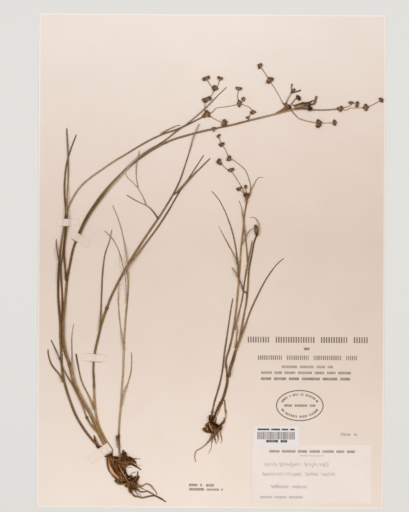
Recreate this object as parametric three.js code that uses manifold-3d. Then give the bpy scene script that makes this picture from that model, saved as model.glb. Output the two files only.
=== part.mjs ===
// Two pressed and dried jointed rushes, strapped to a mounting sheet of stiff paper.
// Millimetres, +Z up. The origin is the middle of the sheet's underside, +Y runs to the flower heads.
// Every route is given in millimetres from the sheet's lower left corner, from root to tip.

import * as THREE from 'three';
import { mergeVertices } from 'three/addons/utils/BufferGeometryUtils.js';
import Module from 'manifold-3d';

// Driving dimensions
const sheetWidth = 292;
const sheetLength = 416;
const sheetThickness = 0.5;
const labelThickness = 0.15;
const strapThickness = 0.15;
const airGap = 0.06;            // between pieces that lie on each other
const pressedStem = 0.62;       // thickness of a pressed stem over its width
const pressedLeaf = 0.5;        // the same for the hollow leaves, which flatten more
const pressedRoot = 0.8;        // the same for the roots, which hardly flatten
const headThickness = 1.5;
const crownThickness = 3.6;     // of the large plant's rootstock, where the stems leave it
const lobeThickness = 2.5;      // of its lower lobe
const smallCrownThickness = 2.9;
const stemSlope = 0.2;          // the steepest a stem climbs over what it crosses
const leafSlope = 0.3;
const strapSlope = 1.1;
const strapSteps = 14;
const branchWidth = 0.8;
const rootedHeight = 0.3;       // how far above its underside a branch enters a head, or a root its crown
const rootedRadius = 1;         // the part of a root that is lifted so
const stemSides = 6;
const leafSides = 5;
const branchSides = 4;

// A flower head's capsules: how far out a point lies over the head's width, how high over its thickness
const capsuleTip = [0.5, 0.35];
const capsuleRidge = [0.26, 1];
const capsuleNotch = [0.3, 0.2];
const headPeak = 0.85;
const shortestCapsule = 0.86;   // capsules of one head differ in length, down to this share
const capsulePhase = 1.7;
const headTurn = 0.4;           // heading of a head's first capsule

// How closely the things below a new piece are looked at
const sampleSpacing = 0.4;      // along a stalk
const rowSpacing = 0.8;         // across a strap, and over a rootstock
const rowRadius = 0.6;
const weldDistance = 1e-4;
const mendTolerance = 0.05;     // slivers smaller than this are merged where pieces grow together

// Looks of the dried plant and the papers
const oliveStem = { color: 0x6f5b33, roughness: 0.75 };
const brownStem = { color: 0x674b30, roughness: 0.75 };
const paleStem = { color: 0x9c8763, roughness: 0.75 };
const darkBase = { color: 0x3f2a1b, roughness: 0.9 };
const headBrown = { color: 0x5b4128, roughness: 0.8 };
const paperCream = { color: 0xe8dacb, roughness: 0.95 };
const labelWhite = { color: 0xe6ddd6, roughness: 0.95 };
const strapWhite = { color: 0xe6dbcf, roughness: 0.95 };

const wasm = await Module();
wasm.setup();

const plate = new THREE.Group();
plate.position.set(-sheetWidth / 2, -sheetLength / 2, 0);

function addMesh(name, geometry, look) {
  const mesh = new THREE.Mesh(geometry, new THREE.MeshStandardMaterial({ ...look, metalness: 0 }));
  mesh.name = name;
  plate.add(mesh);
}

// What already lies on the sheet, as small discs: place, radius and top height.
const laidDiscs = [];

function heightUnder(x, y, radius) {
  let height = sheetThickness;
  for (const disc of laidDiscs) {
    const reach = disc.radius + radius + airGap;
    const dx = disc.x - x;
    const dy = disc.y - y;
    if (disc.top > height && dx * dx + dy * dy < reach * reach) height = disc.top;
  }
  return height;
}

// The width along a stalk, from root over middle to tip.
function widthAt(widths, t) {
  const [root, middle, tip] = widths;
  return t < 0.5 ? root + (middle - root) * t * 2 : middle + (tip - middle) * (t * 2 - 1);
}

// Lays a stalk or a band on what is already there.
// Each station gets a place, a width, a thickness and the height of its underside.
function layDown({ route, widths, flat, steps, slope, across = 0, rests = [] }) {
  const points = route.map(([x, y]) => new THREE.Vector3(x, y, 0));
  const curve = new THREE.CatmullRomCurve3(points, false, 'centripetal');
  const stations = curve.getSpacedPoints(steps).map((point, i) => {
    const width = widthAt(widths, i / steps);
    return { x: point.x, y: point.y, width, thickness: flat * width, under: sheetThickness };
  });
  for (let i = 0; i < steps; i += 1) {
    const under = segmentHeight(stations[i], stations[i + 1], across);
    stations[i].under = Math.max(stations[i].under, under);
    stations[i + 1].under = Math.max(stations[i + 1].under, under);
  }
  for (const station of stations) {
    for (const rest of rests) {
      const near = Math.hypot(station.x - rest.x, station.y - rest.y) < rest.radius;
      if (near) station.under = Math.max(station.under, rest.under + rootedHeight);
    }
  }
  limitSlope(stations, slope);
  return stations;
}

// The highest thing below one straight piece of a stalk, or of a band when it is sampled across too.
function segmentHeight(from, to, across) {
  const length = Math.hypot(to.x - from.x, to.y - from.y);
  const samples = Math.ceil(length / sampleSpacing);
  const rows = Math.ceil(across / rowSpacing);
  const radius = rows > 0 ? rowRadius : Math.max(from.width, to.width) / 2;
  let height = sheetThickness;
  for (let s = 0; s <= samples; s += 1) {
    const t = s / samples;
    for (let row = 0; row <= rows; row += 1) {
      const side = rows > 0 ? across * (row / rows - 0.5) : 0;
      const x = from.x + (to.x - from.x) * t - (side * (to.y - from.y)) / length;
      const y = from.y + (to.y - from.y) * t + (side * (to.x - from.x)) / length;
      height = Math.max(height, heightUnder(x, y, radius));
    }
  }
  return height;
}

// Raises the stations beside a high one, so that a stalk climbs gently and never cuts through.
function limitSlope(stations, slope) {
  const last = stations.length - 1;
  for (let i = 1; i <= last; i += 1) raiseTo(stations[i], stations[i - 1], slope);
  for (let i = last - 1; i >= 0; i -= 1) raiseTo(stations[i], stations[i + 1], slope);
}

function raiseTo(station, neighbour, slope) {
  const drop = slope * Math.hypot(station.x - neighbour.x, station.y - neighbour.y);
  station.under = Math.max(station.under, neighbour.under - drop);
}

// Marks a laid stalk's top, so that the next piece lies over it.
function markStalk(stations) {
  for (let i = 0; i < stations.length - 1; i += 1) {
    const from = stations[i];
    const to = stations[i + 1];
    const samples = Math.ceil(Math.hypot(to.x - from.x, to.y - from.y) / sampleSpacing);
    const radius = Math.max(from.width, to.width) / 2;
    const top = Math.max(from.under + from.thickness, to.under + to.thickness) + 2 * airGap;
    for (let s = 0; s <= samples; s += 1) {
      const t = s / samples;
      laidDiscs.push({ x: from.x + (to.x - from.x) * t, y: from.y + (to.y - from.y) * t, radius, top });
    }
  }
}

// Bends an upright unit solid, with one row of vertices for each station, along a laid line.
function bendAlong(solid, stations) {
  const last = stations.length - 1;
  const place = solid.attributes.position;
  for (let v = 0; v < place.count; v += 1) {
    const i = Math.round((place.getY(v) + 0.5) * last);
    const station = stations[i];
    const before = stations[Math.max(i - 1, 0)];
    const after = stations[Math.min(i + 1, last)];
    const heading = Math.atan2(after.y - before.y, after.x - before.x);
    const side = place.getX(v) * station.width;
    const x = station.x + Math.sin(heading) * side;
    const y = station.y - Math.cos(heading) * side;
    const z = station.under + airGap + (0.5 + place.getZ(v)) * station.thickness;
    place.setXYZ(v, x, y, z);
  }
  solid.deleteAttribute('normal');
  solid.deleteAttribute('uv');
  return mergeVertices(solid, weldDistance);
}

// A faceted stalk that lies on one of its flats.
function stalkSolid(stations, sides) {
  const turn = sides % 2 === 0 ? Math.PI / sides : 0;
  const solid = new THREE.CylinderGeometry(1, 1, 1, sides, stations.length - 1, false, turn);
  solid.center();
  const size = solid.boundingBox.getSize(new THREE.Vector3());
  solid.scale(1 / size.x, 1 / size.y, 1 / size.z);
  return bendAlong(solid, stations);
}

function bandSolid(stations) {
  return bendAlong(new THREE.BoxGeometry(1, 1, 1, 1, stations.length - 1, 1), stations);
}

// A stem or leaf that is one plain stalk.
function addStalk(name, { route, widths, flat, steps, slope, look, sides }) {
  const stations = layDown({ route, widths, flat, steps, slope });
  markStalk(stations);
  addMesh(name, stalkSolid(stations, sides), look);
}

function addStem(name, look, widths, steps, route) {
  addStalk(name, { route, widths, flat: pressedStem, steps, slope: stemSlope, look, sides: stemSides });
}

function addLeaf(name, look, widths, steps, route) {
  addStalk(name, { route, widths, flat: pressedLeaf, steps, slope: leafSlope, look, sides: leafSides });
}

// A pressed flower head: pointed capsules that fan out from the middle, one ridge on each.
function headSolid({ x, y, width, height, turn, points, under }) {
  const bottom = under + airGap;
  const corners = [x, y, bottom, x, y, bottom + headThickness * headPeak];
  const addCorner = (angle, share, rise) => {
    const out = [Math.cos(angle) * width * share, Math.sin(angle) * height * share];
    corners.push(x + out[0], y + out[1], bottom + headThickness * rise);
  };
  for (let i = 0; i < points; i += 1) {
    const angle = turn + (i * 2 * Math.PI) / points;
    const reach = 1 - (1 - shortestCapsule) * Math.abs(Math.sin(capsulePhase * i + x));
    addCorner(angle, capsuleTip[0] * reach, capsuleTip[1]);
    addCorner(angle, ...capsuleRidge);
    addCorner(angle + Math.PI / points, ...capsuleNotch);
  }
  const faces = [];
  for (let i = 0; i < points; i += 1) {
    const [tip, ridge, notch] = [0, 1, 2].map((k) => 2 + 3 * i + k);
    const [nextTip, nextRidge] = [0, 1].map((k) => 2 + 3 * ((i + 1) % points) + k);
    faces.push(1, ridge, notch, 1, notch, nextRidge, ridge, tip, notch, notch, nextTip, nextRidge);
    faces.push(0, notch, tip, 0, nextTip, notch);
  }
  const solid = new THREE.BufferGeometry();
  solid.setAttribute('position', new THREE.Float32BufferAttribute(corners, 3));
  solid.setIndex(faces);
  return solid;
}

function toManifold(geometry) {
  const vertProperties = new Float32Array(geometry.attributes.position.array);
  const triVerts = new Uint32Array(geometry.index.array);
  return new wasm.Manifold(new wasm.Mesh({ numProp: 3, vertProperties, triVerts }));
}

function fuse(geometries) {
  const joined = geometries.map(toManifold).reduce((sum, next) => sum.add(next)).simplify(mendTolerance);
  const mesh = joined.getMesh();
  const geometry = new THREE.BufferGeometry();
  geometry.setAttribute('position', new THREE.BufferAttribute(mesh.vertProperties, 3));
  geometry.setIndex(new THREE.BufferAttribute(mesh.triVerts, 1));
  return geometry;
}

// Flower branches with the heads they carry, grown as one piece.
function addSpray(name, look, stems, heads) {
  const placed = heads.map(([x, y, width, height, points]) => {
    const radius = (width + height) / 4;
    return { x, y, width, height, points, turn: headTurn, radius, under: heightUnder(x, y, radius) };
  });
  const laid = stems.map(({ route, widths = [branchWidth, branchWidth, branchWidth], steps = 3 }) => (
    layDown({ route, widths, flat: pressedStem, steps, slope: leafSlope, rests: placed })
  ));
  const solids = [...laid.map((stations) => stalkSolid(stations, branchSides)), ...placed.map(headSolid)];
  laid.forEach(markStalk);
  for (const { x, y, radius, under } of placed) {
    laidDiscs.push({ x, y, radius, top: under + headThickness + 2 * airGap });
  }
  addMesh(name, fuse(solids), look);
}

// A flat lump of rootstock with rounded edges, drawn by its outline.
function crownSolid(outline, thickness, round) {
  const shape = new THREE.Shape(outline.map(([x, y]) => new THREE.Vector2(x, y)));
  const solid = new THREE.ExtrudeGeometry(shape, {
    depth: thickness - 2 * round,
    bevelEnabled: true,
    bevelThickness: round,
    bevelSize: round,
    bevelOffset: -round,
    bevelSegments: 1,
  });
  solid.translate(0, 0, sheetThickness + airGap + round);
  solid.deleteAttribute('normal');
  solid.deleteAttribute('uv');
  return mergeVertices(solid, weldDistance);
}

function markOutline(outline, thickness) {
  const box = new THREE.Box2().setFromPoints(outline.map(([x, y]) => new THREE.Vector2(x, y)));
  const top = sheetThickness + thickness + 2 * airGap;
  for (let { x } = box.min; x <= box.max.x; x += rowSpacing) {
    for (let { y } = box.min; y <= box.max.y; y += rowSpacing) {
      if (inside(outline, x, y)) laidDiscs.push({ x, y, radius: rowRadius, top });
    }
  }
}

function inside(outline, x, y) {
  let within = false;
  outline.forEach(([ax, ay], i) => {
    const [bx, by] = outline[(i + 1) % outline.length];
    if (ay > y !== by > y && x < ax + ((y - ay) * (bx - ax)) / (by - ay)) within = !within;
  });
  return within;
}

// A rootstock: its lumps and the roots that leave them, as one piece.
function addRootstock(name, look, lumps, roots) {
  const laid = roots.map(({ route, widths, steps = 4 }) => {
    const [[x, y]] = route;
    const rests = [{ x, y, radius: rootedRadius, under: sheetThickness }];
    return layDown({ route, widths, flat: pressedRoot, steps, slope: leafSlope, rests });
  });
  const solids = lumps.map(({ outline, thickness, round }) => crownSolid(outline, thickness, round));
  solids.push(...laid.map((stations) => stalkSolid(stations, branchSides)));
  laid.forEach(markStalk);
  for (const { outline, thickness } of lumps) markOutline(outline, thickness);
  addMesh(name, fuse(solids), look);
}

function addPlate(name, [left, bottom, right, top], thickness, under, look) {
  const solid = new THREE.BoxGeometry(right - left, top - bottom, thickness);
  solid.translate((left + right) / 2, (bottom + top) / 2, under + thickness / 2);
  addMesh(name, solid, look);
}

// A gummed paper strap, laid over everything that it holds down.
function addStrap(name, { centre: [x, y], length, width, degrees }) {
  const angle = THREE.MathUtils.degToRad(degrees);
  const dx = (Math.cos(angle) * length) / 2;
  const dy = (Math.sin(angle) * length) / 2;
  const stations = layDown({
    route: [[x - dx, y - dy], [x, y], [x + dx, y + dy]],
    widths: [width, width, width],
    flat: strapThickness / width,
    steps: strapSteps,
    slope: strapSlope,
    across: width,
  });
  addMesh(name, bandSolid(stations), strapWhite);
}

// The mounting sheet and what is gummed to it
addPlate('mounting_sheet', [0, 0, sheetWidth, sheetLength], sheetThickness, 0, paperCream);
addPlate('main_label', [181, 4.5, 282, 54], labelThickness, sheetThickness + airGap, labelWhite);
// The catalogue label's lower edge lies over the main label's upper edge.
const catalogueLabel = { middle: 201.5, width: 39, bottom: 51.5, clear: 54.3, down: 55.4, top: 69.5 };
const labelSteps = [
  [catalogueLabel.bottom, labelThickness + airGap],
  [catalogueLabel.clear, labelThickness + airGap],
  [catalogueLabel.down, 0],
  [catalogueLabel.top, 0],
].map(([y, rise]) => ({
  x: catalogueLabel.middle,
  y,
  width: catalogueLabel.width,
  thickness: labelThickness,
  under: sheetThickness + rise,
}));
addMesh('catalogue_label', bandSolid(labelSteps), labelWhite);

// The large plant: rootstock
addRootstock('large_rootstock', darkBase, [
  {
    thickness: crownThickness,
    round: 1,
    outline: [[57.8, 41.8], [63.2, 45.6], [69, 42.6], [73.2, 47.2], [75.8, 44.2], [81.3, 41.2],
      [83, 37.8], [76.5, 35.5], [72, 31], [67.5, 27.8], [63, 29.2], [60.2, 34], [58.6, 39]],
  },
  {
    thickness: lobeThickness,
    round: 0.8,
    outline: [[67.2, 22.6], [68.5, 29], [74, 33], [79, 29.2], [84.4, 29.6], [87, 25], [88.6, 18.8],
      [84.4, 16.2], [79, 12.8], [75.9, 16.2], [70.2, 20]],
  },
], [
  { route: [[71, 38.6], [78.7, 37], [83.5, 34.1], [88.2, 31.6]], widths: [2, 1.8, 1.2] },
  { route: [[80, 40.6], [83.5, 41.4], [87.2, 41.7]], widths: [1, 0.8, 0.5], steps: 3 },
  { route: [[59.6, 38], [59.5, 33], [62.5, 28], [66, 24.6], [68.5, 22.4]], widths: [1.2, 1.2, 1] },
  { route: [[83.8, 26.5], [86.8, 24.8], [89.7, 18], [92, 15.2], [93.2, 14.2]], widths: [0.9, 0.8, 0.5] },
  {
    route: [[83, 17], [86.5, 13.8], [91, 13.2], [97.9, 12.5], [104.6, 8.2], [109.9, 4.2]],
    widths: [1.1, 1, 0.6],
    steps: 8,
  },
  {
    route: [[78.2, 14], [81, 11.8], [84.9, 9.6], [89.2, 8.7], [94, 9.4], [99.6, 11.3]],
    widths: [1.1, 0.8, 0.6],
    steps: 6,
  },
  {
    route: [[86, 19.4], [90.7, 19.7], [93.6, 20.4], [96.9, 18.3], [99.8, 14.4], [101.4, 11]],
    widths: [0.9, 0.8, 0.6],
    steps: 6,
  },
  { route: [[69, 21.8], [66.6, 22], [64.8, 24.4]], widths: [1, 0.9, 0.5], steps: 2 },
]);

// The large plant: flowering stems
addStem('culm_a', oliveStem, [1.4, 1.35, 1.1], 30, [
  [60.3, 46.5], [56.6, 53], [54.1, 57], [52.3, 60], [50, 65.2], [47.9, 70], [46, 75], [43.1, 80.4],
  [40.2, 85.6], [37.2, 90.5], [34.4, 95.4], [31.8, 100.6], [30.2, 105], [29.1, 110], [28, 115],
  [26.3, 120.5], [24.6, 125.2], [22.9, 130], [21.6, 136], [21.2, 144], [20.7, 156], [20.7, 166],
  [20.8, 175], [20.2, 185], [19.5, 196], [19.5, 207.6], [21, 217.1], [22.6, 229], [23.7, 240],
  [24.9, 250], [27.4, 257.1], [33.2, 267.3], [40.9, 275.6], [51.2, 283], [60.8, 290.1], [71, 296.2],
  [89.2, 307.3], [101.9, 313.6], [117.4, 319.4], [134.9, 327.9], [137.6, 329.4],
]);
addStem('culm_b', oliveStem, [1.45, 1.6, 1.3], 32, [
  [61.9, 47.3], [58.4, 53.1], [55.9, 57.1], [54.1, 60], [51.8, 65.2], [49.7, 70], [47.8, 75.1],
  [44.7, 80.5], [41.6, 85.8], [38.5, 91], [35.8, 95.8], [33.3, 100.8], [31.5, 105.5], [30.4, 109.9],
  [29.1, 115.3], [27.3, 121.2], [25.7, 125.6], [24, 130.2], [22.7, 136.3], [21.9, 144], [21.8, 156.3],
  [22.6, 165.9], [23.3, 175.5], [23.7, 184], [24.5, 191.5], [26.1, 199.1], [27.8, 208.7], [29.5, 217.2],
  [31.5, 223.6], [34.1, 230.6], [36.9, 237.3], [41.1, 244.8], [48.8, 257], [55.5, 266.1], [65.5, 277],
  [79.8, 290.3], [94.6, 300.6], [108, 308.3], [123, 313.4], [145.2, 319], [160.8, 322.4],
  [176.9, 326.7], [200.1, 332.6], [207.1, 335], [212.2, 335.6],
]);
addStem('culm_c', oliveStem, [1.4, 1.7, 0.8], 24, [
  [63.6, 48.1], [60.2, 53.3], [57.7, 57.3], [55.9, 60.2], [53.6, 65.4], [51.5, 70], [50.2, 74.5], [49.3, 79],
  [48.6, 85], [48, 91], [47.9, 100], [47.4, 110], [47.2, 120], [48, 128.6], [50.8, 141.4], [53.5, 154.4],
  [57, 164.7], [60.8, 174.9], [66, 187], [71.9, 197.2], [78.6, 209.8], [90.4, 228], [100.8, 243.5],
  [109.6, 257.4], [117.3, 271.5], [122.2, 284.9], [127.2, 300.4], [131.4, 315.2], [135.2, 323.5],
]);
addStem('outer_stem', oliveStem, [1.9, 1.8, 0.8], 21, [
  [57.8, 45.3], [54.1, 49.9], [50, 53.3], [46.9, 56.8], [43.7, 60.6], [39.8, 65.7], [36, 71.5],
  [32.8, 77.3], [30, 83.7], [27.3, 91.5], [24.6, 99.7], [22.6, 105.1], [21.4, 110.5], [20.6, 120],
  [20.1, 130], [19.3, 140], [19, 155], [18.2, 165], [17.4, 177], [17, 187], [17.5, 198], [18.7, 214],
  [20.9, 229.9], [22, 236], [23.2, 240.5], [23.5, 244.8], [22.9, 250], [22.4, 254.5], [22, 262],
  [22.2, 276], [23.4, 289.1], [25.7, 298], [27.2, 302], [28.6, 306], [31.7, 314.2],
]);
addStem('right_stem', paleStem, [1.7, 1.5, 0.7], 15, [
  [69.6, 45.6], [69.3, 50.3], [68.8, 59.9], [69.3, 72.7], [70.4, 85.5], [71.3, 101.5], [72.3, 120.8],
  [73, 140], [73.9, 156.3], [75.5, 175.5], [76.1, 187], [75.9, 194.7], [74.4, 213.9], [71.5, 228.6],
  [67, 244.1], [62.6, 254.6],
]);
addStem('side_sheath', darkBase, [1.3, 1.5, 1.2], 3, [[69.1, 50.4], [68.1, 55.4], [67.2, 61]]);
addStem('base_stub', darkBase, [2.4, 1.8, 1.2], 4, [[54.8, 50.6], [52, 52.6], [50.3, 56], [49, 60]]);

// The large plant: flower branches at the heads of the stems
addSpray('spray_a_centre', headBrown, [
  { route: [[140, 330.9], [139.7, 336.5], [140, 341.1], [140.9, 344.3]] },
  { route: [[141, 344.3], [145.2, 347.5], [147.2, 351], [148.1, 353.8]] },
  { route: [[148.1, 353.8], [144.6, 356.2], [142.3, 359.6], [141, 361.6]] },
  { route: [[148.1, 353.8], [150.7, 356.2], [151.7, 359.6], [152.4, 361.8]] },
], [[141.7, 332.2, 7, 6, 6], [140.9, 344.3, 9, 5, 6], [148.1, 353.8, 5.4, 5.4, 6], [140.6, 361.9, 7, 4, 6],
  [152.6, 362.2, 5, 4, 5]]);
addSpray('spray_a_right', headBrown, [
  { route: [[145.9, 333.4], [149.8, 337.1], [157.3, 338.1], [165.4, 339.7], [168.5, 340.8]], steps: 6 },
  { route: [[168.9, 341], [167.4, 345.8], [167.7, 350.4], [168.2, 353.2]] },
  { route: [[168.9, 341], [170.8, 343], [172.2, 344.4]], steps: 2 },
  { route: [[169, 341], [175.2, 338.8], [177.9, 337.4], [180.4, 333.9]] },
  { route: [[180.4, 333.9], [178.1, 331.9], [176.4, 329.4]], steps: 2 },
], [[168.3, 353.6, 6, 4, 5], [172.3, 344.6, 3.8, 4, 5], [168.9, 340.9, 6, 7, 6], [180.4, 333.7, 5.4, 4.4, 5],
  [176.1, 329, 3.4, 3.4, 5]]);
addSpray('spray_a_low', headBrown, [
  { route: [[145.7, 329.2], [149.8, 327], [154.4, 324.9], [156.7, 324]] },
], [[156.9, 324.2, 5.6, 5.6, 6]]);
addSpray('bud_on_culm_b', headBrown, [
  { route: [[147.2, 316.8], [147.6, 318.6], [147.5, 320.6]], widths: [1, 1.4, 1], steps: 2 },
], [[147.5, 319.6, 3, 4.2, 5]]);
addSpray('spray_b_left', headBrown, [
  {
    route: [[208.6, 339.4], [205.2, 342], [201.7, 348.7], [198.3, 354.4], [195.4, 359], [195.6, 362]],
    steps: 7,
  },
  { route: [[195.5, 359.4], [192.6, 363.4], [188.5, 369.4], [186, 372.4]] },
  { route: [[195.7, 359.5], [191.7, 359.3]], steps: 2 },
], [[209.3, 339.4, 7.4, 4.2, 6], [191.7, 359.3, 3.8, 3.6, 5], [192.8, 362.6, 4, 4, 5],
  [195.8, 362.2, 3.8, 4.6, 5], [185.9, 372.7, 4.6, 6.2, 6]]);
addSpray('spray_b_middle', headBrown, [
  { route: [[209.8, 342.4], [210.6, 345.2], [212.1, 348.7], [213, 350.5]] },
  { route: [[213, 350.4], [213.2, 354], [213.3, 357.8]], widths: [1.4, 1.2, 1.6], steps: 3 },
  { route: [[213, 350.4], [217, 350.8], [219.6, 352.5]], widths: [1.2, 1, 1.4], steps: 3 },
], [[213.2, 350.7, 3.2, 3, 5], [214.8, 352.8, 2.6, 2.8, 5]]);
addSpray('spray_b_small', headBrown, [
  { route: [[213.4, 341], [214.4, 342.8], [216.8, 345.5], [218.6, 346.8]] },
], [[218.7, 346.8, 4.8, 5.4, 5]]);
addSpray('spray_b_right', headBrown, [
  {
    route: [[213.2, 335.9], [223.6, 336.4], [232, 336], [241.3, 336], [250.7, 336.7], [254.3, 337.2]],
    steps: 8,
  },
  { route: [[254.3, 337.2], [259.6, 338.7], [262.5, 340], [263.4, 342], [268, 341]], steps: 5 },
  { route: [[254.3, 337.2], [259, 335.8], [262.2, 337.6], [267.2, 337.7], [275.5, 338.1]], steps: 6 },
  { route: [[275.5, 338.1], [281.4, 340.6], [284.9, 342.6], [288.2, 344.4]] },
], [[254.3, 337.2, 6.6, 6, 6], [263.4, 342, 5, 3.6, 5], [268.3, 341.4, 3.6, 5.2, 5], [275.5, 338.1, 6, 7, 6],
  [288.6, 344.6, 4.4, 5.4, 5]]);
addSpray('spray_b_cluster', headBrown, [
  {
    route: [[213.6, 338], [217.7, 339.3], [226, 341.2], [233, 342.6], [233.9, 347.4]],
    widths: [1, 1.4, 1.2],
    steps: 8,
  },
  { route: [[217.7, 339.3], [224, 342.2], [231.6, 344.3]], widths: [1.4, 1.4, 0.8], steps: 4 },
  { route: [[226.4, 340.8], [228.6, 338]], steps: 2 },
], [[219.6, 339.2, 7, 4, 6], [226.8, 340, 4.4, 3.4, 5], [228.6, 338, 3.2, 2.6, 5]]);
addSpray('spray_b_low', headBrown, [
  { route: [[213.9, 334.4], [217.7, 329.9], [222.4, 327.8], [227.7, 326.3], [235.4, 324.6]], steps: 6 },
  { route: [[235.6, 324.6], [242.5, 325], [249, 325.1]], steps: 3 },
], [[235.7, 324.3, 5.4, 8.4, 6], [249.4, 325.2, 4.4, 6, 5]]);
addSpray('side_shoot', oliveStem, [
  {
    route: [[99.5, 245.9], [95.5, 251], [91.2, 254.5], [83.5, 258.1], [74.5, 263.3]],
    widths: [1.1, 1, 0.6],
    steps: 7,
  },
  {
    route: [[91.2, 254.5], [88.4, 261.2], [84.2, 268.6], [79.9, 273.6], [75, 278.2], [73, 282]],
    widths: [1, 1, 0.6],
    steps: 7,
  },
  { route: [[84.2, 268.6], [82.6, 278], [82.5, 287.7], [84.9, 301]], widths: [1, 0.9, 0.6], steps: 6 },
], []);

// The large plant: leaves
addLeaf('leaf_beside_culm_b', paleStem, [1.3, 1.2, 0.6], 19, [
  [34.9, 229.6], [39.3, 238.9], [43.4, 246.4], [50.6, 256.9], [57.7, 266.1], [66.4, 276.1], [75.6, 286.8],
  [87.5, 297.6], [99.5, 305.5], [105.3, 308.8], [114.7, 316.3], [124.5, 323], [134.8, 331.9], [142.3, 338.8],
  [149.8, 346.9], [158.2, 354.9],
]);
addLeaf('bract_on_culm_a', paleStem, [1.1, 1, 0.6], 5, [
  [102.8, 315], [109.8, 319], [114.7, 321.2], [117.4, 322.5], [119.4, 322.3],
]);
addLeaf('leaf_top_left', oliveStem, [1.7, 1.6, 0.7], 11, [
  [23.6, 193.5], [23, 199.2], [22.3, 207.6], [21.9, 214], [22.3, 222], [23.3, 232], [24.6, 243],
  [23.9, 252], [24.7, 268], [25.1, 280.1], [24.7, 297.4], [24.4, 303], [23.5, 319.6],
]);
addLeaf('leaf_far_left', brownStem, [1.4, 1.2, 0.6], 8, [
  [21.6, 105.4], [20.4, 108.9], [18.2, 112.4], [16, 115], [13.3, 118.2], [11.2, 121.7], [9.9, 125.6],
  [9, 129.5], [8.8, 133.2],
]);
addLeaf('leaf_crossing_left', brownStem, [1.6, 1.4, 0.7], 14, [
  [50.4, 63.6], [47.2, 67.5], [44.6, 71.3], [41.6, 75.8], [40, 80.5], [37.8, 87.2], [34, 95], [31.5, 100.6],
  [29, 104.6], [24.9, 111], [21.6, 117.6], [18.7, 125.7], [15.2, 133], [11.2, 141],
]);
addLeaf('leaf_thin_left', paleStem, [1.2, 1.1, 0.6], 6, [
  [29.5, 113], [29.1, 122], [29.1, 128], [28.7, 140], [28.9, 146], [30.4, 154.8],
]);
addLeaf('leaf_small_left', paleStem, [1.2, 1.1, 0.7], 3, [
  [17.2, 210.6], [16.2, 215.9], [15.3, 221.7], [15.3, 226.2],
]);
addLeaf('leaf_in_fork', brownStem, [1.4, 1.2, 0.8], 7, [
  [48.2, 82.4], [46.8, 86], [43.3, 94], [39.7, 101], [36.9, 108], [35.1, 115.5], [33.5, 123.5], [32.4, 129.6],
]);
addLeaf('leaf_middle', oliveStem, [1.3, 1.2, 0.7], 8, [
  [52.1, 148.6], [52.9, 159.5], [53.7, 178.7], [54.4, 198], [56.3, 213.3], [61.1, 228.1], [62.1, 234.5],
]);
addLeaf('leaf_along_culm_c', paleStem, [1.4, 1.3, 0.7], 11, [
  [71.9, 197], [74.9, 201.8], [81.6, 210.6], [89.3, 220.9], [99.7, 235.3], [109.7, 250.3], [118.9, 266.4],
  [127.5, 279.4], [134.4, 289.7], [139.1, 297.4],
]);
addLeaf('leaf_upper_culm_c', oliveStem, [1.5, 1.3, 0.7], 7, [
  [116.8, 265.8], [120.3, 269.3], [124.7, 274.2], [130.4, 280.4], [136, 285.9], [144.7, 294.9],
]);
addLeaf('leaf_upper_right_stem', oliveStem, [1.3, 1.1, 0.7], 8, [
  [74.7, 172], [74.5, 186.4], [73.1, 196.6], [69.2, 212.6], [66.2, 220.2], [62.5, 226.7], [60, 228.7],
  [55.9, 233.2],
]);
addLeaf('leaf_left_of_right_stem', oliveStem, [1.4, 1.2, 0.7], 6, [
  [73, 132.6], [70.4, 147.9], [68.2, 165.9], [67.9, 180], [68.7, 190.2],
]);
addLeaf('leaf_right_of_right_stem', oliveStem, [1.4, 1.2, 0.8], 7, [
  [70.9, 86], [73.6, 97.7], [76.2, 104.7], [78.4, 112.4], [79.3, 120], [79, 131],
]);

// The small plant
addRootstock('small_rootstock', darkBase, [
  {
    thickness: smallCrownThickness,
    round: 0.7,
    outline: [[139.8, 66.8], [142.4, 70.4], [144.4, 75.6], [146.4, 77], [147.2, 73.3], [149.5, 71.6],
      [152.2, 70.6], [156.8, 75], [158, 73.4], [155.2, 68.5], [154.3, 65.4], [150.9, 63.8], [147.1, 62],
      [143.2, 63.2], [140.6, 65]],
  },
], [
  {
    route: [[147.6, 65], [145.8, 58.2], [143.2, 55], [139.4, 51.8], [133.3, 46], [133.9, 39]],
    widths: [1.4, 1, 0.6],
    steps: 9,
  },
  { route: [[148.4, 65], [148.2, 59], [148, 54]], widths: [1, 0.8, 0.5], steps: 3 },
  { route: [[149.2, 65], [149.7, 59.5], [151.4, 54]], widths: [1.1, 0.8, 0.5], steps: 3 },
  { route: [[151, 66], [151.7, 62], [152.6, 57.2]], widths: [1.1, 0.9, 0.5], steps: 3 },
  { route: [[153.6, 68], [155.2, 64.2], [155.7, 58.8], [155, 54.6]], widths: [1.1, 0.9, 0.6], steps: 4 },
  { route: [[146.9, 64.6], [146.5, 58], [146.7, 53.1], [144.3, 46]], widths: [1.1, 0.9, 0.5], steps: 5 },
]);
addStem('small_culm_a', brownStem, [1.8, 1.4, 1.2], 21, [
  [148.6, 74.8], [149.6, 77.5], [151, 80.8], [151.9, 84], [152.9, 87], [154.9, 89.6], [156.7, 92.3],
  [157.8, 96], [158.8, 101], [159.9, 106], [160.1, 113], [159.2, 117], [158.2, 121.4], [160.4, 130],
  [162.9, 140], [164.7, 150], [166.2, 160], [168.1, 176.5], [169.1, 190], [170.5, 211.5], [172.4, 232.5],
  [174.3, 252], [175.4, 257],
]);
addStem('small_shoot_base', brownStem, [2.1, 2.2, 1.8], 5, [
  [161.6, 112], [161.9, 115.6], [162.8, 119.3], [164, 122.8], [165, 126.1], [166.9, 133],
]);
addStem('small_culm_b', paleStem, [1.3, 1.2, 1], 14, [
  [167.8, 135.6], [169.6, 140.6], [171.2, 149], [173.3, 159.5], [176, 175], [177.1, 188], [177.8, 200.8],
  [179.9, 213.1], [182.4, 225.8], [184, 230],
]);
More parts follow.
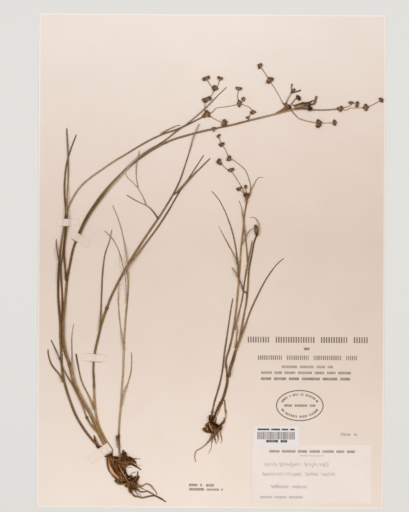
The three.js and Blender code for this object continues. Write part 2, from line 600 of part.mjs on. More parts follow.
addSpray('small_spray_centre', headBrown, [
  { route: [[175.5, 257.9], [175.3, 261], [175.2, 264.8]], widths: [1.4, 2.6, 4.4], steps: 3 },
  { route: [[174, 263.8], [172.3, 266.2], [169.4, 268.6]], steps: 2 },
  { route: [[175, 263.6], [175.1, 266.4], [174.6, 270]], steps: 2 },
], [[168.9, 269.1, 4.8, 3.8, 5], [174.5, 270.9, 2.2, 3.4, 5]]);
addSpray('small_spray_right', headBrown, [
  {
    route: [[178.3, 265.4], [178.5, 272.9], [175, 283.7], [171.6, 287.7], [162.9, 294.1], [160.5, 294.6]],
    steps: 9,
  },
  { route: [[160.4, 294.6], [157.5, 301.8], [154.2, 306.4]], steps: 3 },
  { route: [[154.2, 306.4], [152.8, 309.9], [151.7, 313]], steps: 2 },
], [[160.3, 294.4, 5, 5.6, 6], [154, 306.5, 5, 4, 5], [151.5, 313.2, 4.4, 4, 5]]);
addSpray('small_spray_left', headBrown, [
  { route: [[172.5, 268.4], [170.3, 272.2], [166.9, 277.6], [162, 284.6]], steps: 4 },
  { route: [[162, 284.8], [158.2, 286], [155.1, 289], [152.6, 291.8]], steps: 4 },
], [[161.9, 284.9, 5.8, 4, 5], [152.1, 292.4, 6.4, 7.4, 6]]);
addSpray('small_head', headBrown, [
  { route: [[184.1, 230.9], [183.8, 234], [183.4, 237]], widths: [1.2, 1.6, 1.4], steps: 2 },
], [[183.4, 237, 4, 5.4, 5]]);
addLeaf('small_bract', oliveStem, [0.9, 0.8, 0.4], 6, [
  [178.4, 264.2], [179.4, 268.3], [181.7, 272.9], [183.8, 276.9], [186.4, 278.9], [189.5, 278.8],
]);
addLeaf('small_curled_bract', paleStem, [0.9, 0.8, 0.4], 7, [
  [185.1, 231.4], [186, 236.5], [185.5, 240.4], [183.3, 244.1], [180.3, 245.4], [178.1, 244.9],
]);
addLeaf('small_leaf_left', oliveStem, [1.2, 1.1, 0.7], 10, [
  [147.2, 79.2], [148.5, 86], [150.8, 94], [153.5, 104.4], [155.6, 113.5], [156.6, 124], [158.2, 136.5],
  [160.1, 150], [162.3, 163.4], [164.3, 177],
]);
addLeaf('small_leaf_top', paleStem, [1.2, 1, 0.5], 9, [
  [176.6, 206.8], [175.9, 217.6], [174.3, 230.4], [172.8, 243.8], [170.7, 255.3], [169, 259.3],
]);
addLeaf('small_leaf_long_left', oliveStem, [1.2, 1, 0.5], 8, [
  [168.9, 194.7], [168, 209.5], [164.4, 229.7], [160, 243.2], [153.5, 257.4], [146.1, 267.2],
]);
addLeaf('small_leaf_short_left', paleStem, [1.1, 1, 0.5], 6, [
  [167.9, 205], [166.3, 210.9], [158.2, 225.8], [152.1, 237.5],
]);
addLeaf('small_leaf_between', paleStem, [1.2, 1.1, 0.7], 9, [
  [166.2, 150.5], [168.7, 161.1], [172.4, 177.9], [174.1, 191.3], [176.4, 204.8], [178.8, 216.9],
  [180.4, 225.8],
]);
addLeaf('small_leaf_hooked', brownStem, [1.1, 1, 0.6], 6, [
  [175.9, 181.2], [173.4, 182.6], [171.7, 187.3], [169.6, 192.7], [166.3, 198.6], [163.6, 202.9],
]);
addLeaf('small_leaf_inner', paleStem, [1.2, 1.2, 0.8], 5, [
  [166.4, 134.8], [167.4, 140], [168, 147], [168.2, 151], [167.5, 155.2],
]);
addLeaf('small_leaf_long_right', oliveStem, [1.3, 1.2, 0.6], 11, [
  [168.9, 137.6], [170.5, 142], [173.8, 151.1], [179.2, 166.4], [185.5, 179.8], [191.9, 192.7], [198, 201.8],
  [204.7, 209.5], [207.1, 210.9],
]);
addLeaf('small_leaf_pale', paleStem, [1.2, 1.1, 1], 4, [
  [158.6, 75.8], [159, 80], [158.3, 85.1], [157.9, 91.4],
]);
addLeaf('small_leaf_arching', paleStem, [0.9, 0.8, 0.5], 4, [
  [174, 226.6], [176.5, 231.7], [179.4, 235.1], [181.1, 236.1],
]);

// The straps, last, over the stems
addStrap('strap_top', { centre: [25, 240], length: 19.5, width: 6, degrees: 2 });
addStrap('strap_middle', { centre: [35.4, 226.2], length: 18, width: 6.8, degrees: -30 });
addStrap('strap_fork', { centre: [47.8, 126.2], length: 22, width: 6.2, degrees: -4 });
addStrap('strap_base', { centre: [52.7, 45.7], length: 21.1, width: 7.5, degrees: 35 });

export default plate;
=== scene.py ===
import math
import random
from itertools import accumulate, pairwise

import bmesh
import bpy
from mathutils import Matrix, Vector, kdtree, noise
from mathutils.bvhtree import BVHTree


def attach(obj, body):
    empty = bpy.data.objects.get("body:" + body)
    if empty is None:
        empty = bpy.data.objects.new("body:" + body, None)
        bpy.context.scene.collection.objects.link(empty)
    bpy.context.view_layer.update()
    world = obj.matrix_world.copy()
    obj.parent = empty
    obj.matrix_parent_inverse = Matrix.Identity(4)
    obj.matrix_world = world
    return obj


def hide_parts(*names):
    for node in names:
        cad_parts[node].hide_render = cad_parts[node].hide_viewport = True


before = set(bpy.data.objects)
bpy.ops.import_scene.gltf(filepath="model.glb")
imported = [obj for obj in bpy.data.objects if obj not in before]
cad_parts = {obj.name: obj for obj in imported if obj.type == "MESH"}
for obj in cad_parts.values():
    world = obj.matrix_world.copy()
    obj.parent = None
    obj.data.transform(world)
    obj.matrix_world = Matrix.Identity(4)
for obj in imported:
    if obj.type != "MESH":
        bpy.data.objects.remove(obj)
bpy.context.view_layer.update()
bpy.ops.object.select_all(action="DESELECT")

mm = 0.001
sheet = dict(width=292, length=416, top=0.5, glued=0.56, ceiling=3.9)


def place(x, y, z=0.0):
    return Vector(((x - sheet["width"] / 2) * mm, (y - sheet["length"] / 2) * mm, z * mm))


def unplace(point):
    return Vector((point.x / mm + sheet["width"] / 2, point.y / mm + sheet["length"] / 2, point.z / mm))


# Camera straight above the sheet, turned as much as the sheet lies turned in the picture
view = dict(middle=(140.2, 212.4), distance=1199, lens=100, turn=0.32)
bpy.ops.object.camera_add(location=place(*view["middle"], view["distance"]),
                          rotation=(0, 0, math.radians(view["turn"])))
camera = bpy.context.object
camera.data.lens = view["lens"]
camera.data.sensor_width = 36
camera.data.clip_end = 10
bpy.context.scene.camera = camera
print("camera set")


# Colours and materials

def linear(hexCode):
    channels = [int(hexCode[i:i + 2], 16) / 255 for i in (0, 2, 4)]
    return [c / 12.92 if c <= 0.04045 else ((c + 0.055) / 1.055) ** 2.4 for c in channels] + [1.0]


def newMaterial(name):
    material = bpy.data.materials.new(name)
    material.use_nodes = True
    material.node_tree.nodes.clear()
    return material, material.node_tree


def addNode(tree, kind, inputs=None, **settings):
    node = tree.nodes.new("ShaderNode" + kind)
    for key, value in settings.items():
        setattr(node, key, value)
    for socket, value in (inputs or {}).items():
        if isinstance(value, bpy.types.NodeSocket):
            tree.links.new(value, node.inputs[socket])
        else:
            node.inputs[socket].default_value = value
    return node


def addNoise(tree, where, scale, detail, roughness=0.5):
    return addNode(tree, "TexNoise", {"Vector": where, "Scale": scale, "Detail": detail,
                                      "Roughness": roughness})


def addRamp(tree, value, stops):
    node = addNode(tree, "ValToRGB", {0: value})
    ramp = node.color_ramp
    while len(ramp.elements) < len(stops):
        ramp.elements.new(0.5)
    for element, (position, colour) in zip(ramp.elements, stops):
        element.position = position
        element.color = linear(colour)
    return node.outputs[0]


def addSpan(tree, value, low, high, start=0.0, end=1.0):
    return addNode(tree, "MapRange", {"Value": value, "From Min": low, "From Max": high,
                                      "To Min": start, "To Max": end}).outputs[0]


def addMath(tree, operation, *values):
    return addNode(tree, "Math", dict(enumerate(values)), operation=operation).outputs[0]


def addMix(tree, kind, amount, first, second):
    return addNode(tree, "Mix", {0: amount, 6: first, 7: second}, data_type="RGBA", blend_type=kind).outputs[2]


def addTint(tree, amount, base, value, dark, start, end):
    # darkens the base where the value is low
    return addMix(tree, "MULTIPLY", amount, base, addRamp(tree, value, [(start, dark), (end, "ffffff")]))


def finishMaterial(tree, colour, roughness, height, strength, distance, shine=0.5):
    bump = addNode(tree, "Bump", {"Strength": strength, "Distance": distance, "Height": height})
    shader = addNode(tree, "BsdfPrincipled", {"Base Color": colour, "Roughness": roughness,
                                              "Normal": bump.outputs[0], "Specular IOR Level": shine})
    addNode(tree, "OutputMaterial", {"Surface": shader.outputs[0]})


# Rag paper, calendered: matt, with soft cloudy toning, painted shade from side to side, short fibres and paler
# edges
def paperMaterial(name, look):
    material, tree = newMaterial(name)
    where = addNode(tree, "TexCoord").outputs["Object"]
    split = addNode(tree, "SeparateXYZ", {0: where})
    halfWidth, halfLength = sheet["width"] / 2 * mm, sheet["length"] / 2 * mm
    upward = addRamp(tree, addSpan(tree, split.outputs["Y"], -halfLength, halfLength), look["tones"])
    # painted shade: the paper turns a little darker at its sides, most of all to the right, as the light falls
    # off there
    sidewaysShade = addRamp(tree, addSpan(tree, split.outputs["X"], -halfWidth, halfWidth), look["across"])
    base = addMix(tree, "MULTIPLY", 1.0, upward, sidewaysShade)
    clouds = addNoise(tree, where, 28, 5, 0.6)  # 35 mm clouds
    clouded = addTint(tree, look["cloudiness"], base, clouds.outputs[0], look["cloud"], 0.3, 0.7)
    fibres = addNoise(tree, where, 900, 6, 0.7)  # 1.1 mm fibre tufts
    colour = addMix(tree, "OVERLAY", look["fibres"], clouded, fibres.outputs["Color"])
    if "edge" in look:
        # the outermost millimetre is paler
        rims = [addSpan(tree, addMath(tree, "ABSOLUTE", split.outputs[axis]), half - 0.0014, half - 0.0002)
                for axis, half in (("X", halfWidth), ("Y", halfLength))]
        paleRim = addMath(tree, "MULTIPLY", addMath(tree, "MAXIMUM", *rims), 0.55)
        colour = addMix(tree, "MIX", paleRim, colour, linear(look["edge"]))
    finishMaterial(tree, colour, 0.92, fibres.outputs[0], 0.25, 0.00004, 0.2)
    return material


# Dried stems, leaves, heads and roots: ribbed and satin to matt, with streaks that run along them and
# darker cross walls
def driedMaterial(name, look):
    material, tree = newMaterial(name)
    tone, straight, septum = (addNode(tree, "Attribute", attribute_name=key)
                              for key in ("tone", "straight", "septum"))
    along = addNode(tree, "Mapping", {"Vector": straight.outputs["Vector"], "Scale": (0.09, 1.0, 1.0)})
    streaks = addNoise(tree, along.outputs[0], 5200, 4, 0.6).outputs[0]
    streaked = addTint(tree, look["streakiness"], tone.outputs["Color"], streaks, look["streak"], 0.3, 0.7)
    blotches = addNoise(tree, straight.outputs["Vector"], 160, 3).outputs[0]  # 6 mm blotches
    blotched = addTint(tree, look["blotchiness"], streaked, blotches, look["blotch"], 0.35, 0.62)
    wall = addMath(tree, "MULTIPLY", septum.outputs["Fac"], 0.6)
    walled = addMix(tree, "MIX", wall, blotched, linear(look["wall"]))
    gloss = addSpan(tree, streaks, 0, 1, look["gloss"], look["gloss"] + 0.25)
    finishMaterial(tree, walled, gloss, streaks, 0.6, 0.00008, look["shine"])
    return material


# Printing ink, slightly worn where the paper's fibres stand up
def inkMaterial(name, dark, light):
    material, tree = newMaterial(name)
    wear = addNoise(tree, addNode(tree, "TexCoord").outputs["Object"], 1400, 3, 0.7).outputs[0]
    finishMaterial(tree, addRamp(tree, wear, [(0.35, dark), (0.75, light)]), 0.7, wear, 0.2, 0.00002)
    return material


def evenTone(hexCode):
    return dict(tones=[(0.0, hexCode), (1.0, hexCode)], across=[(0.0, "ffffff"), (1.0, "ffffff")])


# Sheet: cream paper, pinker and darker in the middle, painted shade to the right; straps: the same, more
# clouded; labels: even cream
sheetTones = dict(tones=[(0.02, "efe0d3"), (0.18, "e9d9cc"), (0.34, "e1d0c2"), (0.54, "ddcbbd"),
                         (0.75, "e4d4c8"), (0.98, "ece0d6")],
                  across=[(0.0, "fcfcfd"), (0.5, "ffffff"), (1.0, "f8f6f5")])
sheetPaper = paperMaterial("sheetRagPaper", dict(sheetTones, cloud="efe6dc", cloudiness=0.2, fibres=0.06,
                                                 edge="fbf6ef"))
strapPaper = paperMaterial("gummedStrapPaper", dict(sheetTones, cloud="f4ebe4", cloudiness=0.5, fibres=0.08))
labelPaper = paperMaterial("labelWovePaper", dict(evenTone("ebdfd7"), cloud="f2ebe4", cloudiness=0.4,
                                                  fibres=0.05))
catalogueLabelPaper = paperMaterial("catalogueLabelPaper", dict(evenTone("e7dfda"), cloud="f4f2f4",
                                                                cloudiness=0.4, fibres=0.04))
# Stems: satin brown; leaves: satin, walls paler; heads: darker streaks; roots: dull and nearly matt
driedCulm = driedMaterial("driedRibbedCulm", dict(
    streak="dcc8ae", streakiness=0.75, blotch="d4bfa2", blotchiness=0.6, wall="6e4a26", gloss=0.62, shine=0.2))
driedLeaf = driedMaterial("driedSeptateLeaf", dict(
    streak="dcc9ae", streakiness=0.7, blotch="d6c2a6", blotchiness=0.6, wall="6e5434", gloss=0.65, shine=0.2))
driedHead = driedMaterial("driedFlowerHead", dict(
    streak="c4aa8a", streakiness=0.8, blotch="c6aa86", blotchiness=0.6, wall="64422a", gloss=0.6, shine=0.25))
driedRoot = driedMaterial("driedRootSkin", dict(
    streak="e6cdb0", streakiness=0.7, blotch="e0c4a4", blotchiness=0.7, wall="48301c", gloss=0.9, shine=0.04))
# Inks: brown-grey print, paler stamp and pen, grey pencil, nearly black bars
printInk = inkMaterial("printInk", "6e5f55", "8a7a6e")
paleInk = inkMaterial("stampInk", "75655a", "93847a")
penInk = inkMaterial("penInk", "7a6a5e", "9a8a7e")
pencil = inkMaterial("pencilGrey", "9c9086", "b8aca0")
barInk = inkMaterial("barInk", "2e2a36", "4a4453")
print("materials made")


# The colours of dried rush, from the dark old base over olive and golden brown to bleached straw
palette = dict(
    soot="2c1a0d", seed="472611", bark="4a2e1a", umber="614022", nut="6b4122", brick="6e462a",
    rust="7d5530", moss="684f2c", peat="63513a", olive="725834", drab="715d43", khaki="7b633d",
    sage="7c6649", golden="876d43", mauve="846c54", tan="8a6f4e", amber="94683c", sand="927853",
    straw="9e825a", wheat="a58d6d", husk="b08a5a", dust="a08c76", rose="a8886c", pale="b49d7b",
    cream="d6b088", green="6f6a3c")


def shades(text):
    # "45 umber, 60 golden" gives places and colours; "umber golden" spreads its colours evenly from 0 to 1
    if "," not in text:
        names = text.split()
        return [(i / max(1, len(names) - 1), Vector(linear(palette[name]))) for i, name in enumerate(names)]
    pairs = [item.split() for item in text.split(",")]
    return [(float(at), Vector(linear(palette[name]))) for at, name in pairs]


def between(stops, value):
    # the number or colour between given ones
    if value <= stops[0][0]:
        return stops[0][1]
    for (low, first), (high, second) in pairwise(stops):
        if value <= high:
            return first + (second - first) * ((value - low) / (high - low))
    return stops[-1][1]


def points(text):
    # "1,2 3,4" gives [(1, 2), (3, 4)]
    return [tuple(float(number) for number in item.split(",")) for item in text.split()]


# A strand is a route over the sheet, with its widths at the start, the middle and the end, and its colours
# along it. A spray's branches mostly have these widths and colours.
usualStrand = ["0.8 0.75 0.7", "dust pale dust"]


def strands(text):
    # "1,2 2,2 2,3|1 2 1|umber; ..." gives ([(1, 2), (2, 2), (2, 3)], [1, 2, 1], shades("umber")), ...
    items = [item.split("|") for item in text.split(";") if item]
    return [(points(route), [float(number) for number in widths.split()], shades(tones))
            for route, widths, tones in (item + usualStrand[len(item) - 1:] for item in items)]


# Stalks: every stem, leaf, branch and root is swept along its path with a ribbed, pressed section.
# Flat is the height of a section as a share of its width.
sectionLooks = dict(
    culm=dict(points=14, ribs=0.09, flat=0.62), leaf=dict(points=10, ribs=0.07, flat=0.5),
    branch=dict(points=8, ribs=0.08, flat=0.62), root=dict(points=6, ribs=0.12, flat=0.8),
    hair=dict(points=4, ribs=0.0, flat=0.9))
# A wide sheath is pressed down to the thickest; rims are darker, partly the pressed stalk's folds, partly
# painted shade; apart keeps the streaks of two stalks from matching; widths and ways waver along the stalk,
# but its ends stay in place
stalkLook = dict(thickest=1.15, rimFoldAndShade=0.22, bright=1.2, apart=37, widthWaves=0.11, swayWaves=0.05, steadyEnds=8,
                 bluntest=0.7)


def profile(name, look):
    # a closed section, one millimetre in half width, as flat as the pressed stalk
    outline = bpy.data.curves.new(name, "CURVE")
    outline.dimensions = "2D"
    spline = outline.splines.new("POLY")
    spline.points.add(look["points"] - 1)
    spline.use_cyclic_u = True
    for i, point in enumerate(spline.points):
        angle = -2 * math.pi * (i + 0.5) / look["points"]
        rib = 1 if i % 2 == 0 else 1 - look["ribs"]
        point.co = (math.cos(angle) * rib * mm, math.sin(angle) * rib * look["flat"] * mm, 0, 1)
    shape = bpy.data.objects.new(name, outline)
    bpy.context.collection.objects.link(shape)
    return shape


sections = {name: profile(name + "Section", look) for name, look in sectionLooks.items()}


def thickness(width, section):
    return min(sectionLooks[section]["flat"] * width, stalkLook["thickest"])


def smoothPath(stations, spacing):
    # a smooth curve through (x, y, z, width) points, with a new one every so many millimetres
    stations = [Vector(station) for station in stations]
    last = len(stations) - 1
    times = [0.0, *accumulate(max((b - a).xy.length, 0.01) ** 0.5 for a, b in pairwise(stations))]
    nearby = [(max(i - 1, 0), min(i + 1, last)) for i in range(last + 1)]
    slopes = [(stations[high] - stations[low]) / (times[high] - times[low]) for low, high in nearby]
    path = []
    for i in range(last):
        a, b, span = stations[i], stations[i + 1], times[i + 1] - times[i]
        steps = max(1, round((b - a).xy.length / spacing))
        for s in range(steps):
            t = s / steps
            path.append(a * (2 * t ** 3 - 3 * t ** 2 + 1) + slopes[i] * span * (t ** 3 - 2 * t ** 2 + t)
                        + b * (3 * t ** 2 - 2 * t ** 3) + slopes[i + 1] * span * (t ** 3 - t ** 2))
    path.append(stations[last])
    return path


def flatPath(route, widths, spacing):
    # a path at height 0 through (x, y) points
    stops = list(zip((0, 0.5, 1), widths))
    last = len(route) - 1
    return smoothPath([(x, y, 0, between(stops, i / last)) for i, (x, y) in enumerate(route)], spacing)


def lengthsAlong(path):
    return [0.0, *accumulate((b - a).xyz.length for a, b in pairwise(path))]


def sideAt(path, i):
    ahead = path[min(i + 1, len(path) - 1)] - path[max(i - 1, 0)]
    return Vector((ahead.y, -ahead.x)).normalized()


def editWhole(*steps):
    # runs mesh operators, each on the whole active mesh
    bpy.ops.object.mode_set(mode="EDIT")
    for operator, settings in steps:
        bpy.ops.mesh.select_all(action="SELECT")
        operator(**settings)
    bpy.ops.object.mode_set(mode="OBJECT")


def cleanUp(piece, weld=None):
    # outward normals and smooth shading, with doubled points welded where asked
    steps = [(bpy.ops.mesh.remove_doubles, dict(threshold=weld))] if weld else []
    editWhole(*steps, (bpy.ops.mesh.normals_make_consistent, dict(inside=False)))
    bpy.ops.object.shade_smooth()
    piece.select_set(False)


def sweep(name, section, paths):
    # one mesh from many paths, closed at both ends
    bpy.ops.curve.primitive_nurbs_path_add()
    piece = bpy.context.object
    piece.name = name
    line = piece.data
    line.splines.clear()
    for path in paths:
        spline = line.splines.new("POLY")
        spline.points.add(len(path) - 1)
        for point, (x, y, z, width) in zip(spline.points, path):
            point.co = (*place(x, y, z), 1)
            point.radius = width / 2
    line.twist_mode = "Z_UP"
    line.bevel_mode = "OBJECT"
    line.bevel_object = sections[section]
    line.use_fill_caps = True
    bpy.ops.object.convert(target="MESH")
    piece = bpy.context.object
    cleanUp(piece, 1e-7)
    piece.data.name = name
    return piece


def giveAttributes(mesh, colours, places, walls=None):
    # what the dried materials read: colour, place along and across the straightened stalk, cross walls
    mesh.attributes.new("tone", "FLOAT_COLOR", "POINT").data.foreach_set("color", colours)
    mesh.attributes.new("straight", "FLOAT_VECTOR", "POINT").data.foreach_set("vector", places)
    septum = mesh.attributes.new("septum", "FLOAT", "POINT")
    if walls:
        septum.data.foreach_set("value", walls)


def paintStalks(piece, section, paths, tones, septa=None, byHeight=False):
    # presses wide places flat, darkens edges (folds and painted shade), colours each path along its length or
    # by its height
    tree = kdtree.KDTree(sum(len(path) for path in paths))
    rows = []
    for p, path in enumerate(paths):
        lengths = lengthsAlong(path)
        for i, point in enumerate(path):
            tone = between(tones[p], point.y if byHeight and p == 0 else i / (len(path) - 1))
            rows.append((p, i, point, lengths[i], sideAt(path, i), tone))
            tree.insert(place(*point.xyz), len(rows) - 1)
    tree.balance()
    colours, places, walls = [], [], []
    for vertex in piece.data.vertices:
        p, i, point, along, side, tone = rows[tree.find(vertex.co)[1]]
        offset = unplace(vertex.co) - point.xyz
        offset.z *= thickness(point.w, section) / (sectionLooks[section]["flat"] * point.w)
        vertex.co.z = (point.z + offset.z) * mm
        # painted shade, together with the pressed stalk's folds: the edges across the stalk are darkened
        across = min(1, 2 * abs(offset.xy.dot(side)) / point.w)
        colours.extend((*(tone * stalkLook["bright"] * (1 - stalkLook["rimFoldAndShade"] * across ** 3)).xyz, 1))
        places.extend(((along + stalkLook["apart"] * p) * mm, offset.xy.dot(side) * mm, offset.z * mm))
        walls.append(septa[p][i] if septa else 0.0)
    giveAttributes(piece.data, colours, places, walls)


made = []


def finish(piece, material, node):
    # a piece gets its material and takes the place of its CAD node, which is hidden, or has no node
    piece.data.materials.clear()
    piece.data.materials.append(material)
    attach(piece, "root")
    if node:
        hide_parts(node)
    made.append(piece)


def readStations(node):
    # the rings of a CAD stalk in order from its root; walking from a cap's middle meets them one by one
    work = bmesh.new()
    work.from_mesh(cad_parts[node].data)
    bmesh.ops.remove_doubles(work, verts=work.verts, dist=1e-6)
    work.normal_update()
    caps = [v for v in work.verts if all(f.normal.dot(v.link_faces[0].normal) > 0.9999 for f in v.link_faces)]
    layer = {min(caps, key=lambda v: v.co.y)}
    seen = set(layer)
    stations = []
    while True:
        layer = {e.other_vert(v) for v in layer for e in v.link_edges} - seen
        if len(layer) < 3:
            break
        seen |= layer
        ring = [unplace(v.co) for v in layer]
        width = max((a.xy - b.xy).length for a in ring for b in ring)
        middle = sum(ring, Vector()) / len(ring)
        stations.append((middle.x, middle.y, min(p.z for p in ring), width))
    work.free()
    return stations


def bell(distance, width):
    return math.exp(-(distance / width) ** 2)


jointLook = dict(swell=0.06, width=0.35, wall=0.6, wallWidth=0.3)
sheathLook = dict(swell=0.12, flare=0.2, mouth=1.4, wallWidth=0.9, past=0.4, ease=3)
knobWidth = 1.3


def dressPath(path, look, seed):
    # widths and walls of a real stalk: uneven, jointed, with sheaths that end in a thicker mouth, and knobs
    lengths = lengthsAlong(path)
    total = lengths[-1]
    walls = [0.0] * len(path)
    for i, point in enumerate(path):
        along = lengths[i]
        point.w *= 1 + look["uneven"] * noise.noise(Vector((along * stalkLook["widthWaves"], seed, 0)))
        loose = min(1, along / stalkLook["steadyEnds"], (total - along) / stalkLook["steadyEnds"])
        sway = look["sway"] * noise.noise(Vector((along * stalkLook["swayWaves"], seed, 7))) * loose
        side = sideAt(path, i)
        point.x += side.x * sway
        point.y += side.y * sway
        if "joints" in look:
            nearest = abs((along + seed * 1.7) % look["joints"] - look["joints"] / 2)
            point.w *= 1 + jointLook["swell"] * bell(nearest, jointLook["width"])
            walls[i] = jointLook["wall"] * bell(nearest, jointLook["wallWidth"])
        if look.get("taper"):
            point.w *= max(stalkLook["bluntest"], min(1, (total - along) / look["taper"]) ** 0.6)
    for x, y, length in points(look.get("sheaths", "")):
        end = min(range(len(path)), key=lambda i: (path[i].xy - Vector((x, y))).length)
        for i, point in enumerate(path):
            back = lengths[end] - lengths[i]
            if -sheathLook["past"] <= back <= length:
                flare = sheathLook["swell"] + sheathLook["flare"] * bell(back, sheathLook["mouth"])
                point.w *= 1 + flare * min(1, (length - back) / sheathLook["ease"])
                walls[i] = max(walls[i], bell(back, sheathLook["wallWidth"]))
    for x, y, swell in points(look.get("knobs", "")):
        for i, point in enumerate(path):
            near = bell((point.xy - Vector((x, y))).length, knobWidth)
            point.w *= 1 + swell * near
            walls[i] = max(walls[i], near)
    return walls


# Tones go by the height on the sheet, and so does swell, how much wider than the CAD stalk. Foot and head
# are x,y,width points beyond the CAD stalk's ends, sheaths are x,y,length with the mouth's place, knobs are
# x,y,swell, and strips are strands that lie on top.
culmLook = dict(uneven=0.12, sway=0.25, spacing=0.8, section="culm", swell="0,1.2")
leafLook = dict(uneven=0.14, sway=0.25, joints=4.2, taper=1.4, spacing=0.7, section="leaf", swell="0,1.12")
culms = {
    "culm_a": dict(
        tones="45 umber, 55 straw, 100 sand, 125 golden, 150 olive, 172 nut, 186 brick, 205 khaki, "
        "236 khaki, 252 wheat, 290 wheat, 300 mauve, 314 mauve, 320 drab",
        head="138.6,330,2.8 141.2,331.6,2.3", sheaths="26.3,120.5,30"),
    "culm_b": dict(
        tones="45 umber, 55 straw, 96 straw, 99.8 golden, 103 straw, 117 straw, 121 moss, 124 golden, "
        "135 golden, 190 khaki, 200 moss, 250 moss, 262 drab, 270 mauve, 326 mauve, 331 dust",
        sheaths="27.8,121.4,26 25.5,197.5,22 82,291.6,14 108,307.8,10"),
    "culm_c": dict(
        tones="45 umber, 56 straw, 75 husk, 98 wheat, 102 khaki, 160 khaki, 165.6 golden, 167.4 umber, "
        "169.4 golden, 176 khaki, 210 tan, 250 mauve, 258 drab, 275 drab, 300 mauve, 323 dust",
        swell="0,1.2 250,1.15 280,1.1 300,1.05 323,0.95", sheaths="47.9,103.4,24 58.8,169,16",
        knobs="58.9,167.5,0.5"),
    "outer_stem": dict(
        tones="45 umber, 54 rust, 64 drab, 100 khaki, 130 khaki, 172 moss, 186 umber, 205 umber, 218 olive, "
        "232 khaki, 248 umber, 262 drab", swell="250,1.08 262,1.2 275,1.35 290,1.2 314,1.3", taper=1.5,
        sheaths="18,212,24",
        strips="22.3,235 21.6,229 20.9,223 20.3,217 19.8,211 19.2,206|0.8 1.35 0.8|khaki dust wheat dust "
        "drab"),
    "right_stem": dict(
        tones="45 rose, 50 mauve, 60 umber, 64 wheat, 85 pale, 140 pale, 156 wheat, 170 sand, 190 wheat, "
        "225 dust", swell="45,0.98 200,0.9 254,0.8", sheaths="68.8,60.5,12 73,139,14", knobs="68.8,60,0.2"),
    "side_sheath": dict(
        tones="48 rose, 56 mauve, 59 umber, 61 bark", swell="0,1.3", taper=2, knobs="67,60.6,0.3"),
    "base_stub": dict(tones="50 umber, 60 amber", swell="0,0.6"),
    "small_culm_a": dict(
        tones="74 soot, 79 bark, 83 umber, 85.6 umber, 88.6 nut, 90.4 nut, 91.6 bark, 93.5 moss, 103 moss, "
        "114 olive, 119 rust, 122 drab, 136 drab, 165 straw, 200 straw, 240 sand, 250 sand, 257 khaki",
        swell="74,0.9 84,0.95 86,1.3 87.2,1.1 88.6,1.5 90.2,1.1 91.6,1.35 93,1.25 111.4,1.25 113,0.65 "
        "117.4,0.65 118.6,1.25 121,1.15 124,1 190,1.08 215,1.02 257,1", sheaths="154.9,89.6,8",
        knobs="152.3,85.8,0.1 153.8,88.6,0.15 155.4,91.6,0.1"),
    "small_shoot_base": dict(
        tones="109 umber, 114 olive, 126 moss, 133 olive", swell="109,1.1 118,1.2 126,1.3 133,1.1",
        foot="161,110.4,1.4"),
    "small_culm_b": dict(
        tones="134 drab, 150 tan, 172 tan, 180 olive, 187 tan, 207 olive, 230 umber",
        foot="166.6,131.5,1.3"),
}
